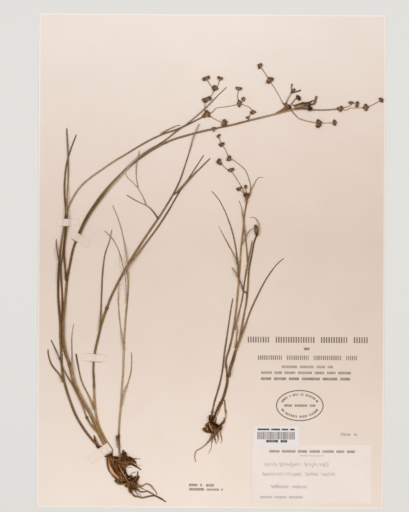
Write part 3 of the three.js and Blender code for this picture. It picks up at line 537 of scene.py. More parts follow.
leaves = {
    "leaf_beside_culm_b": dict(
        tones="229 moss, 262 khaki, 270 pale, 285 pale, 300 mauve, 315 drab, 330 mauve, 340 drab"),
    "bract_on_culm_a": dict(tones="315 straw, 323 sand"),
    "leaf_top_left": dict(
        tones="193 seed, 197 nut, 210 umber, 226 umber, 235 moss, 242 khaki, 245 bark, 248 tan, 270 straw, "
        "290 sage, 320 drab",
        swell="190,1.12 200,0.95 210,1.08 236,1.08 240,0.95 247,1.12 262,0.95 300,1.1 320,1.4",
        foot="24.2,190.5,0.9", knobs="23.7,193,0.3 25.4,245.2,0.4"),
    "leaf_far_left": dict(tones="105 tan, 133 moss", swell="105,1.12 120,1.2 133,1.5"),
    "leaf_crossing_left": dict(
        tones="63 straw, 74 khaki, 75.8 umber, 78 straw, 88 sand, 100 khaki, 124 olive, 126 bark, 128 drab, "
        "141 peat", swell="124,0.95 141,1.4", sheaths="41.6,75.8,8 18.7,125.7,4",
        knobs="41.6,75.8,0.35 18.7,125.7,0.35"),
    "leaf_thin_left": dict(tones="135 rose, 155 pale", swell="0,1"),
    "leaf_small_left": dict(
        tones="207 umber, 212 drab, 218 khaki, 226 sage", swell="0,1", foot="17.9,207.5,1"),
    "leaf_in_fork": dict(tones="82 sand, 106 straw, 116 drab, 130 peat", swell="82,1 112,1.1 130,1.7"),
    "leaf_middle": dict(tones="148 golden, 170 khaki, 190 sage, 215 sage, 234 dust"),
    "leaf_along_culm_c": dict(
        tones="197 straw, 225 tan, 245 olive, 270 moss, 298 drab", swell="197,1.12 260,1.1 280,1 298,1.15"),
    "leaf_upper_culm_c": dict(
        tones="266 drab, 280 tan, 295 drab", swell="263,1.1 295,1.2",
        foot="110.6,259.4,0.5 113.4,263.7,0.8"),
    "leaf_upper_right_stem": dict(
        tones="172 pale, 185 wheat, 200 sand, 215 straw, 225 dust", swell="0,0.72"),
    "leaf_left_of_right_stem": dict(tones="132 pale, 190 wheat", swell="0,0.85"),
    "leaf_right_of_right_stem": dict(tones="86 pale, 131 dust", swell="0,0.95"),
    "small_bract": dict(tones="264 wheat, 279 dust", foot="177,261.5,0.9"),
    "small_curled_bract": dict(tones="231 khaki, 236 wheat, 246 dust", foot="185,229.8,0.9"),
    "small_leaf_left": dict(
        tones="77 umber, 79.6 mauve, 81 bark, 82.6 mauve, 86 sage, 90 khaki, 91.4 umber, 93 olive, "
        "110 olive, 140 sage, 177 drab", swell="0,1.25", foot="147.4,76,1.2 147.2,78.2,1.2",
        knobs="147.4,81,0.4"),
    "small_leaf_top": dict(tones="206 tan, 259 straw"),
    "small_leaf_long_left": dict(tones="194 khaki, 225 tan, 250 mauve, 267 drab"),
    "small_leaf_short_left": dict(tones="205 tan, 238 rose", swell="0,1", taper=4),
    "small_leaf_between": dict(tones="150 straw, 190 olive, 210 khaki"),
    "small_leaf_hooked": dict(tones="181 olive, 190 khaki, 197 tan"),
    "small_leaf_inner": dict(tones="134 sand, 155 straw", swell="0,1"),
    "small_leaf_long_right": dict(tones="135 sand, 150 tan, 175 sage, 185 drab", foot="167.4,133,1.2"),
    "small_leaf_pale": dict(
        tones="75 pale, 78 cream, 80 straw, 82 golden, 85 straw, 88 tan, 91 golden", swell="0,1.2", taper=0,
        foot="157.6,74,1.1", knobs="159.6,82,0.3"),
    "small_leaf_arching": dict(tones="sand", foot="172.2,221.6,0.4 173.2,224.6,0.7"),
}


def addStalk(node, look, seed):
    # follows the CAD stalk from its underside up, a little wider where the photo shows it so
    stations = readStations(node)
    stations = ([(x, y, stations[0][2], width) for x, y, width in points(look.get("foot", ""))] + stations
                + [(x, y, stations[-1][2], width) for x, y, width in points(look.get("head", ""))])
    path = smoothPath(stations, look["spacing"])
    walls = [dressPath(path, look, seed)]
    swell = points(look["swell"])
    for point in path:
        point.w *= between(swell, point.y)
        point.z += thickness(point.w, look["section"]) / 2
    # a split sheath lies on top, off to one side, with colours of its own
    paths, tones = [path], [shades(look["tones"])]
    for route, widths, stripTones in strands(look.get("strips", "")):
        strip = flatPath(route, widths, look["spacing"])
        for point in strip:
            below = min(path, key=lambda other: (other.xy - point.xy).length)
            point.z = below.z + thickness(below.w, look["section"]) / 2
        paths.append(strip)
        tones.append(stripTones)
        walls.append([0] * len(strip))
    piece = sweep(node + "_dried", look["section"], paths)
    paintStalks(piece, look["section"], paths, tones, walls, byHeight=True)
    finish(piece, driedCulm if look["section"] == "culm" else driedLeaf, node)


for number, (node, look) in enumerate({**culms, **leaves}.items()):
    addStalk(node, dict(culmLook if node in culms else leafLook, **look), number + 0.5)
print("stems and leaves made:", len(made))


# Flower heads: capsules between pointed bracts, modelled once and copied

def makeFloret():
    # one capsule with its pointed scales, a millimetre long, lying along X; rings are (share, radius) and
    # scales are (turn, reach)
    look = dict(sides=6, scales=[(-1.0, 0.9), (1.05, 0.82), (2.9, 0.86), (0.1, 0.74)], scaleWidth=0.17,
                rings=[(0.0, 0.1), (0.16, 0.2), (0.42, 0.27), (0.66, 0.22), (0.86, 0.1), (1.0, 0.012)])
    lyingAlongX = (0, math.pi / 2, 0)
    bpy.ops.mesh.primitive_cylinder_add(vertices=look["sides"], radius=1, depth=1, end_fill_type="TRIFAN",
                                        rotation=lyingAlongX, location=(0.5, 0, 0))
    capsule = bpy.context.object
    bpy.ops.object.transform_apply()
    editWhole(*((bpy.ops.mesh.bisect, dict(plane_co=(share, 0, 0), plane_no=(1, 0, 0)))
                for share, _ in look["rings"][1:-1]))
    for vertex in capsule.data.vertices:
        radius = next(r for share, r in look["rings"] if abs(share - vertex.co.x) < 0.01)
        vertex.co.y *= radius
        vertex.co.z *= radius * 0.8
    parts = [capsule]
    for turn, reach in look["scales"]:
        # a scale is a narrow keeled blade that hugs the capsule and stands off at its tip
        bpy.ops.mesh.primitive_cone_add(vertices=3, radius1=look["scaleWidth"], radius2=0.01, depth=reach,
                                        rotation=lyingAlongX, location=(reach / 2, 0, 0))
        scale = bpy.context.object
        bpy.ops.object.transform_apply()
        editWhole((bpy.ops.mesh.bisect, dict(plane_co=(reach * 0.5, 0, 0), plane_no=(1, 0, 0))))
        for vertex in scale.data.vertices:
            t = vertex.co.x / reach
            vertex.co.z = vertex.co.z * 0.35 + 0.17 + 0.14 * math.sin(t * math.pi * 0.75)
            vertex.co.y *= 1 + 0.7 * math.sin(t * math.pi)
        scale.rotation_euler.x = turn
        parts.append(scale)
    for part in parts:
        part.select_set(True)
    bpy.context.view_layer.objects.active = capsule
    bpy.ops.object.transform_apply()
    bpy.ops.object.join()
    cleanUp(capsule)
    return capsule


floret = makeFloret()
chance = random.Random(11)


def copyOf(shape):
    copy = shape.copy()
    copy.data = shape.data.copy()
    bpy.context.collection.objects.link(copy)
    return copy


def copyFloret(start, end, width, lift, shade, tones):
    # a copy from start to end, both (x, y, z), coloured from its foot to its tip
    copy = copyOf(floret)
    colours, places = [], []
    for vertex in copy.data.vertices:
        colours.extend((*(between(tones, vertex.co.x) * shade).xyz, 1.0))
        places.extend((vertex.co.x * 0.003, vertex.co.y * 0.003, vertex.co.z * 0.003))
    giveAttributes(copy.data, colours, places)
    start, end = Vector(start), Vector(end)
    reach = end - start
    turned = Matrix.Rotation(math.atan2(reach.y, reach.x), 4, "Z") @ Matrix.Rotation(-lift, 4, "Y")
    size = Matrix.Diagonal((reach.length * mm, width * 2 * mm, width * 1.5 * mm, 1))
    copy.matrix_world = Matrix.Translation(place(*start)) @ turned @ size
    return copy


def undersideOf(node):
    # height in millimetres at which a CAD solid starts above a place, or just beside it
    work = bmesh.new()
    work.from_mesh(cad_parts[node].data)
    tree = BVHTree.FromBMesh(work)
    work.free()
    beside = [(0, 0)] + [(dx * far, dy * far) for far in (0.15, 0.35)
                         for dx, dy in ((1, 0), (-1, 0), (0, 1), (0, -1))]

    def height(x, y):
        for dx, dy in beside:
            hit = tree.ray_cast(place(x + dx, y + dy, -1), Vector((0, 0, 1)))[0]
            if hit:
                return hit.z / mm
        return None
    return height


def layPath(route, widths, height):
    # gives a branch its heights, from the solid it belongs to
    path = flatPath(route, widths, 0.7)
    last = sheet["glued"]
    for point in path:
        found = height(point.x, point.y)
        last = found if found is not None else last
        point.z = last + thickness(point.w, "branch") / 2
    for _ in range(3):
        heights = [p.z for p in path]
        for i in range(1, len(path) - 1):
            path[i].z = max(heights[i], (heights[i - 1] + heights[i + 1]) / 2)
    return path


# Branches are strands. A head is its middle and the tips of its lobes, then the colours of its florets from
# foot to tip where they aren't the usual ones.
usualHead = ["0 husk, 0.3 rose, 0.65 rust, 1 bark"]
sprays = {
    "spray_a_centre": dict(
        branches="140.6,331.2 139.9,336.5 140,341.1 140.9,344.3; 141,344.3 145.2,347.5 147.2,351 "
        "148.1,353.8; 148.1,353.8 144.6,356.2 142.3,359.6 141,361.6; 148.1,353.8 150.7,356.2 151.7,359.6 "
        "152.4,361.8",
        heads="140.6,331 141.9,335.6 144,333.8 145,330.4 142.6,329.8 139.4,333; 142,343.8 136.7,343.6 "
        "138.9,341.8 140.6,346 143.8,347.1 145.6,346; 148.2,353.2 147.8,356.6 151.2,354 146.8,351.2 "
        "145.4,354.3 149.6,352; 141,361.2 137.2,361.2 138.8,362.8 141,363.4 143.8,364.2 142.8,362.3; "
        "152,361.2 150.7,363.9 153,363.2 154.9,362.5 153.4,360.6"),
    "spray_a_right": dict(
        branches="141.6,331.4 145.9,333.4 149.8,337.1 157.3,338.1 165.4,339.7 168.5,340.8; 168.9,341 "
        "167.4,345.8 167.7,350.4 168.2,353.2; 168.9,341 170.8,343 172.2,344.4; 169,341 175.2,338.8 "
        "177.9,337.4 180.4,333.9; 180.4,333.9 178.1,331.9 176.4,329.4",
        heads="168.1,352.7 165.9,355 168.2,354.9 171,354.2 169.8,352.6; 172,344.4 170.6,344.9 172.4,346.6 "
        "173.8,345.2 172.8,342.7; 168.6,341 168.4,344.2 171,342.2 169,337.6 166.9,341.6 170.4,339.6; "
        "180.2,333.9 177.9,333.2 179.9,331.6 182.9,333.7 180.4,335.7; 176.2,329.2 174.4,329.2 176.7,327.6 "
        "177.4,330"),
    "spray_a_low": dict(
        branches="141.4,330.8 145.7,329.2 149.8,327 154.4,324.9 156.7,324",
        heads="155.4,324.6 156.9,327.8 159.1,325.7 158.5,322.7 154.9,321.6 156.8,321.9"),
    "bud_on_culm_b": dict(
        branches="147.2,316.8 147.6,318.6 147.5,320.6|1 1.4 1",
        heads="147.5,318.8 146.6,320.9 148.6,321 147.6,317.8"),
    "spray_b_left": dict(
        branches="208.6,339.4 205.8,341.2 201.7,348.7 198.3,354.4 195.4,359 195.6,362|0.8 0.75 0.7|tan pale "
        "pale straw; 195.5,359.4 192.6,363.4 188.5,369.4 186,372.4; 195.7,359.5 191.7,359.3; 199.4,332.6 "
        "204,334.8 208.3,337.8 210.4,340.2|1.2 2.8 2.2|sand golden khaki; 202,333.6 207.6,336 "
        "212.8,337.4|1.5 2.8 1.8|golden khaki umber; 208.4,338.8 206.8,340.4 205.4,341.8|1.6 1.6 0.9|golden "
        "green; 206,335.6 207.9,336.5 210,337.4|0.8 1.1 0.8|brick nut; 209.8,335.2 211.4,335.5 213,335.9|1.1 "
        "1.5 1.1|moss umber; 207.3,340.7 208.1,341.3 209,341.7|1.1 1.7 1.2|moss olive; 210.4,340 211.3,338.8 "
        "212,337.2|1.4 2.2 1.6|brick seed bark",
        heads="209.2,338.4 211.8,339.5 210.2,340.4; 194.4,360.6 191.4,358.2 192,360 192.6,362.8 194.8,363.6 "
        "197.8,362.6 197.2,360.6 193.6,357.6; 186.2,372 184.3,374.2 187.2,375.2 187.5,373.5 184.9,370.2 "
        "184.4,372"),
    "spray_b_middle": dict(
        branches="208.1,341.5 209.3,343.6 210.2,345.9 211.5,348 212.7,350.1|0.8 0.75 0.7|tan dust; 213,350.4 "
        "212.8,354.3 213.1,357.8|1.3 1.1 1.5|mauve dust mauve; 214,350.6 217,351.2 219,351.8 220.4,352.6|1 "
        "1.1 1.5|mauve umber",
        heads="213.1,350 212.2,350.8 213.4,352 214.4,350.6|0 rose, 0.5 drab, 1 umber; 214.5,351.4 214.9,354 "
        "215.6,353.2"),
    "spray_b_small": dict(
        branches="212.4,340.2 213.1,341.3 214.7,343.3 216.3,345.3 217.6,346.4|1 1.2 1.2|dust",
        heads="217.7,346 217.9,348.6 220.3,347 220.7,344.2 217.1,345|0 mauve, 0.4 umber, 1 seed"),
    "spray_b_right": dict(
        branches="211.6,336 223.6,336.4 232,336 241.3,336 250.7,336.7 254.3,337.2|1.4 1.5 1.2|dust; "
        "254.3,337.2 259.6,338.7 262.5,340 263.4,342 268,341; 254.3,337.2 259,335.8 262.2,337.6 267.2,337.7 "
        "275.5,338.1; 275.5,338.1 281.4,340.6 284.9,342.6 288.2,344.4",
        heads="253.8,337 250.8,337.3 255.4,339.5 254.5,334.2 256.4,337.2 252.6,335.6; 263.4,341.6 "
        "260.8,342.7 262.8,343.3 264.9,342.8 262.6,340.9; 268.2,340.8 268.3,343.6 269.4,342.4 267.4,338.2 "
        "268.9,338.8; 275.4,338 275,341.5 278.1,338.9 275.7,335 272.6,338 277,336.6; 288.2,344.4 286.9,346.6 "
        "289.2,346.2 290.2,344.8 290,342.6 287.6,343"),
    "spray_b_cluster": dict(
        branches="213.3,339.9 216.3,339.7 219,340.7 221.2,341.4|0.8 1 1.1|umber moss; 220.8,341.2 "
        "222.1,341.5 223.6,341.6|1.3 1.9 1.4|moss bark umber; 215.4,337.8 218,338.6 221,339.1 "
        # the tan strand from 220.6,337.9 to 226.4,338.4 fills a gap between strands with the colour of its
        # shade: painted shade
        "223.2,339.4|1.4 3 2.4|rose husk amber; 220.6,337.9 223.4,338.3 226.4,338.4|1.2 1.8 1.2|tan mauve "
        "drab; 222.4,340.2 224.3,340.2 226.2,340.4|1.6 2.2 1.6|amber umber; 223,341.4 226,341.8 228,342.2 "
        "230,343.3|1.5 2 1.5|umber umber bark; 230,343.6 231,344 232.4,342.6|0.8 0.8 0.5|umber; 228.4,340.5 "
        "231.1,340.7 232.4,342.2 233.2,344.9 233.9,347.6|1.4 2 1.8|mauve; 222.8,340 222.8,338.4 223,337.4|1 "
        "1.2 0.8|bark; 213.4,336.3 216.7,337.1 221.1,337.2 224,337.1 226.6,336.9|1 1.2 1|umber bark drab; "
        "225,339.1 227,339.7 229,340.4|2 2.8 2|bark seed bark",
        heads="217.4,338.8 220.6,339.9 220.4,338.4|0 rose, 0.5 amber, 1 umber; 225.4,340.8 228.4,341.2 "
        "227.8,338.4; 228.5,338.6 228.2,334.4 229.5,335 227.8,335.2|0 seed, 1 bark"),
    "spray_b_low": dict(
        branches="211.8,336 213.3,334.6 215.9,331.7 219,328.8 223.8,327.1 227.7,326.2 235.4,324.6|1 1 0.9; "
        "235.6,324.6 242.5,325 249,325.1",
        heads="235.6,325 234.8,328.2 236.6,327.6 238.4,326.2; 235.8,324.2 234,320.6 236.2,320.8 238,322.4 "
        "233.8,323.4; 249,325.1 248.8,328 251,325.4 249.8,322.6 247.8,324 250,327"),
    "side_shoot": dict(
        branches="101.3,243.2 99.5,245.9 95.5,251 91.2,254.5 83.5,258.1 74.5,263.3|1.7 0.95 0.75|umber drab "
        "wheat tan mauve; 91.2,254.5 88.4,261.2 84.2,268.6 79.9,273.6 75,278.2 73,282|0.85 0.75 0.5|wheat "
        "pale pale dust; 84.2,268.6 82.6,278 82.5,287.7 84.9,301|0.9 0.8 0.6|pale dust pale"),
    "small_spray_centre": dict(
        branches="175.5,256.6 175.3,261 175.2,264.8|1.3 2.6 3.5|sand amber rust; 174,263.8 172.3,266.2 "
        "169.4,268.6; 175,263.6 175.1,266.4 174.6,270",
        heads="169.9,268.8 166.6,269 168,267.4 170.6,271 169.2,270.2; 174.7,269.4 174.4,272.6 173.9,271 "
        "175.2,271.2; 175.2,261.6 173,265.8 174.4,266 175.8,266.1 177.4,265.6|0 rose, 0.4 amber, 1 seed"),
    "small_spray_right": dict(
        branches="176.3,260.4 177.6,263.4 178.5,267 178.5,272.9 175,283.7 171.6,287.7 162.9,294.1 "
        "160.5,294.6|1 0.8 0.8|khaki pale pale; 160.4,294.6 157.5,301.8 154.2,306.4; 154.2,306.4 152.8,309.9 "
        "151.7,313",
        heads="160.8,294 161,297.4 159.2,296 158.2,293.2 160,292.2 162.2,293.2; 154.6,305.6 151.6,306.6 "
        "153.4,307.6 156.1,308.2 152.8,304.8; 151.7,313.2 149.8,313.4 152.6,315.4 152,314.6 151,311.8"),
    "small_spray_left": dict(
        branches="173.4,266 172.5,268.4 170.3,272.2 166.9,277.6 162,284.6; 162,284.8 158.2,286 155.1,289 "
        "152.6,291.8",
        heads="162.4,284 159.3,285 161.4,286.4 164.4,286.8 163.4,285 161.6,283.2; 152.9,290.8 149.5,292.3 "
        "151.9,295 151.2,290 153.2,288.9 154.4,290.4"),
    "small_head": dict(
        branches="184.2,229 184,231.4 183.8,234.4 183.2,237 182.7,239|1.3 3.6 1.2|umber bark tan bark umber; "
        "184.6,230 185.2,232.6 185.2,235.6|0.8 1 0.7|umber tan khaki",
        heads="183.6,236 182.8,238.8 184.4,237.6"),
}


# Each lobe is three florets: (turn, share of the reach) from its heading
headLook = dict(fan=((0.0, 1.0), (-0.34, 0.86), (0.32, 0.8)), jitter=0.08, shortest=1.2, widest=1.6,
                shades=(0.9, 1.2, 1.7), overTip=0.3)


def addHead(height, head):
    # florets fan out to each dark lobe; the lower ones lie flat, the upper ones ride on them
    parts = []
    spots, tones = (head.split("|") + usualHead)[:2]
    (x, y), *lobes = points(spots)
    tones = shades(tones)
    base = height(x, y)
    for number, lobe in enumerate(lobes):
        reach = math.hypot(lobe[0] - x, lobe[1] - y) + headLook["overTip"]
        heading = math.atan2(lobe[1] - y, lobe[0] - x)
        for side, share in headLook["fan"]:
            angle = heading + side + chance.uniform(-headLook["jitter"], headLook["jitter"])
            length = max(headLook["shortest"], reach * share)
            width = min(headLook["widest"], 0.8 + 0.18 * length) * chance.uniform(0.85, 1.15)
            rise = max(0.45 + 0.22 * (number % 3) + 0.12 * (side != 0), 0.75 * width - 0.4)
            back = (reach - length * 0.98) * 0.4
            start = (x + math.cos(angle) * back, y + math.sin(angle) * back, base + rise)
            end = (x + math.cos(angle) * reach * share, y + math.sin(angle) * reach * share, base + rise)
            shade = chance.choice(headLook["shades"])
            parts.append(copyFloret(start, end, width, chance.uniform(-0.02, 0.12), shade, tones))
    return parts


def joinPieces(piece, parts):
    bpy.ops.object.select_all(action="DESELECT")
    for part in [piece, *parts]:
        part.select_set(True)
    bpy.context.view_layer.objects.active = piece
    bpy.ops.object.transform_apply()
    if parts:
        bpy.ops.object.join()
    piece.select_set(False)


for number, (node, spray) in enumerate(sprays.items()):
    height = undersideOf(node)
    paths, tones = [], []
    for route, widths, branchTones in strands(spray["branches"]):
        path = layPath(route, widths, height)
        dressPath(path, dict(uneven=0.2, sway=0.12), number * 3.1 + len(paths))
        paths.append(path)
        tones.append(branchTones)
    piece = sweep(node + "_dried", "branch", paths)
    paintStalks(piece, "branch", paths, tones)
    florets = [part for head in spray.get("heads", "").split(";") if head for part in addHead(height, head)]
    joinPieces(piece, florets)
    finish(piece, driedHead if florets else driedLeaf, node)
bpy.data.objects.remove(floret)
print("flower sprays made:", len(sprays))


# Rootstocks: lumps of old stem bases and soil, with stem bases, roots and fine roots over them

def addLump(x, y, length, width, height, degrees):
    bpy.ops.mesh.primitive_ico_sphere_add(subdivisions=3, radius=0.5,
                                          location=place(x, y, sheet["glued"] + height * 0.42),
                                          rotation=(0, 0, math.radians(degrees)))
    lump = bpy.context.object
    lump.scale = (length * mm, width * mm, height * mm)
    return lump


crownLook = dict(specks=700, bright=1.3)


def addCrown(name, look):
    # the lumps are melted into one body, roughened, and cut flat where they lie on the sheet
    crown, *others = [addLump(*lump) for lump in points(look["lumps"])]
    joinPieces(crown, others)
    crown.name = name
    crown.select_set(True)
    bpy.context.view_layer.objects.active = crown
    crown.data.remesh_voxel_size = look["grain"] * mm
    bpy.ops.object.voxel_remesh()
    for size, depth in look["rough"]:
        clouds = bpy.data.textures.new(name + "Clouds", "CLOUDS")
        clouds.noise_scale = size * mm
        roughen = crown.modifiers.new("roughen", "DISPLACE")
        roughen.texture = clouds
        roughen.texture_coords = "GLOBAL"
        roughen.strength = depth * mm
        bpy.ops.object.modifier_apply(modifier=roughen.name)
    editWhole((bpy.ops.mesh.bisect, dict(plane_co=(0, 0, sheet["glued"] * mm), plane_no=(0, 0, -1),
                                         clear_outer=True, use_fill=True)))
    cleanUp(crown, 1e-6)
    tones = shades(look["tones"])
    colours, places = [], []
    for vertex in crown.data.vertices:
        speck = 0.5 + 0.5 * noise.fractal(vertex.co * crownLook["specks"], 1.0, 2.0, 3)
        colours.extend((*(between(tones, speck) * crownLook["bright"]).xyz, 1))
        places.extend(vertex.co)
    giveAttributes(crown.data, colours, places)
    return crown


def topOf(pieces):
    # height in millimetres of what lies at a place, or the sheet's top
    corners, faces = [], []
    for piece in pieces:
        offset = len(corners)
        corners += [vertex.co.copy() for vertex in piece.data.vertices]
        faces += [[offset + v for v in face.vertices] for face in piece.data.polygons]
    tree = BVHTree.FromPolygons(corners, faces)

    def height(x, y):
        hit = tree.ray_cast(place(x, y, 9), Vector((0, 0, -1)))[0]
        return max(sheet["top"], hit.z / mm) if hit else sheet["top"]
    return height


drapeLook = dict(beside=(-0.3, 0, 0.3), slope=0.7)


def drape(route, widths, height, section, sink=0.3, spacing=0.6):
    # lays a route on what is there, with gentle slopes
    path = flatPath(route, widths, spacing)
    beside = drapeLook["beside"]
    for point in path:
        point.z = max(height(point.x + dx, point.y + dy) for dx in beside for dy in beside)
        point.z = max(point.z - sink, sheet["glued"]) + thickness(point.w, section) / 2
    for low, high, step in ((1, len(path), 1), (len(path) - 2, -1, -1)):
        for i in range(low, high, step):
            drop = drapeLook["slope"] * (path[i].xy - path[i - step].xy).length
            path[i].z = max(path[i].z, path[i - step].z - drop)
    for point in path:
        point.z = min(point.z, sheet["ceiling"] - thickness(point.w, section) / 2)
    return path


def addStrands(name, section, laid, height, look, **laying):
    # strands, all laid on what is there
    paths = [drape(route, widths, height, section, **laying) for route, widths, _ in laid]
    for i, path in enumerate(paths):
        dressPath(path, look, i * 1.3)
    piece = sweep(name, section, paths)
    paintStalks(piece, section, paths, [tones for *_, tones in laid])
    return piece


def wander(start, heading, length, width, curl):
    # a fine root that wanders off from its start
    x, y = start
    route = [(x, y)]
    steps = max(3, round(length / 1.4))
    for _ in range(steps):
        heading += chance.uniform(-curl, curl)
        x += math.cos(heading) * length / steps
        y += math.sin(heading) * length / steps
        route.append((x, y))
    return route, (width, width * 0.8, width * 0.4)


softened = dict(uneven=0.25, sway=0.2)
hairLook = dict(width=(0.18, 0.4), curl=0.4, uneven=0, sway=0)
crownEdge = 0.9  # what stands higher lies on the crown


def addRootstock(node, look):
    crown = addCrown(node + "_crown", look)
    piece = addStrands(node + "_dried", "culm", strands(look["under"]), topOf([crown]), softened, sink=0.35)
    light = addStrands(node + "_light", "culm", strands(look["over"]), topOf([crown, piece]), softened,
                       sink=0.25)
    height = topOf([crown, piece, light])
    roots = addStrands(node + "_roots", "root", strands(look["roots"]), height,
                       dict(uneven=0.35, sway=0.3, taper=5), spacing=0.5)
    parts = [crown, light, roots]
    hairs = []
    for patch in look["hairs"]:
        for _ in range(patch["count"]):
            start = (chance.uniform(*patch["x"]), chance.uniform(*patch["y"]))
            route, widths = wander(start, math.radians(chance.gauss(*patch["heading"])),
                                   chance.uniform(*patch["length"]), chance.uniform(*hairLook["width"]),
                                   hairLook["curl"])
            tone = chance.choice(patch["tones"].split())
            onCrown = height(*start) > crownEdge and height(*route[-1]) > crownEdge
            if onCrown or patch.get("free"):
                hairs.append((route, widths, shades(tone)))
    parts.append(addStrands(node + "_hairs", "hair", hairs, height, hairLook, sink=0.05, spacing=0.9))
    for patch in look["crumbs"]:
        for _ in range(patch["count"]):
            x, y = chance.uniform(*patch["x"]), chance.uniform(*patch["y"])
            if height(x, y) < crownEdge and chance.random() > patch["stray"]:
                continue
            size = chance.uniform(*patch["size"])
            z = min(max(height(x, y), sheet["glued"]) + size * 0.25, sheet["ceiling"] - size)
            parts.append(addCrumb(x, y, z, size, palette[chance.choice(look["crumbTones"].split())]))
    joinPieces(piece, parts)
    finish(piece, driedRoot, node)


# A crumb of soil, modelled once and copied
bpy.ops.mesh.primitive_ico_sphere_add(subdivisions=1, radius=0.5)
crumbShape = bpy.context.object
for vertex in crumbShape.data.vertices:
    vertex.co *= 1 + 0.4 * noise.noise(vertex.co * 3)
crumbShape.select_set(False)


def addCrumb(x, y, z, size, tone):
    crumb = copyOf(crumbShape)
    mesh = crumb.data
    giveAttributes(mesh, linear(tone) * len(mesh.vertices),
                   [c for vertex in mesh.vertices for c in vertex.co * size * mm + place(x, y, z)])
    turned = Matrix.Rotation(chance.uniform(0, 6.3), 4, "Z") @ Matrix.Rotation(chance.uniform(0, 3), 4, "X")
    squeezed = Matrix.Diagonal((size * mm, size * chance.uniform(0.6, 1) * mm,
                                size * chance.uniform(0.5, 0.9) * mm, 1))
    crumb.matrix_world = Matrix.Translation(place(x, y, z)) @ turned @ squeezed
    return crumb


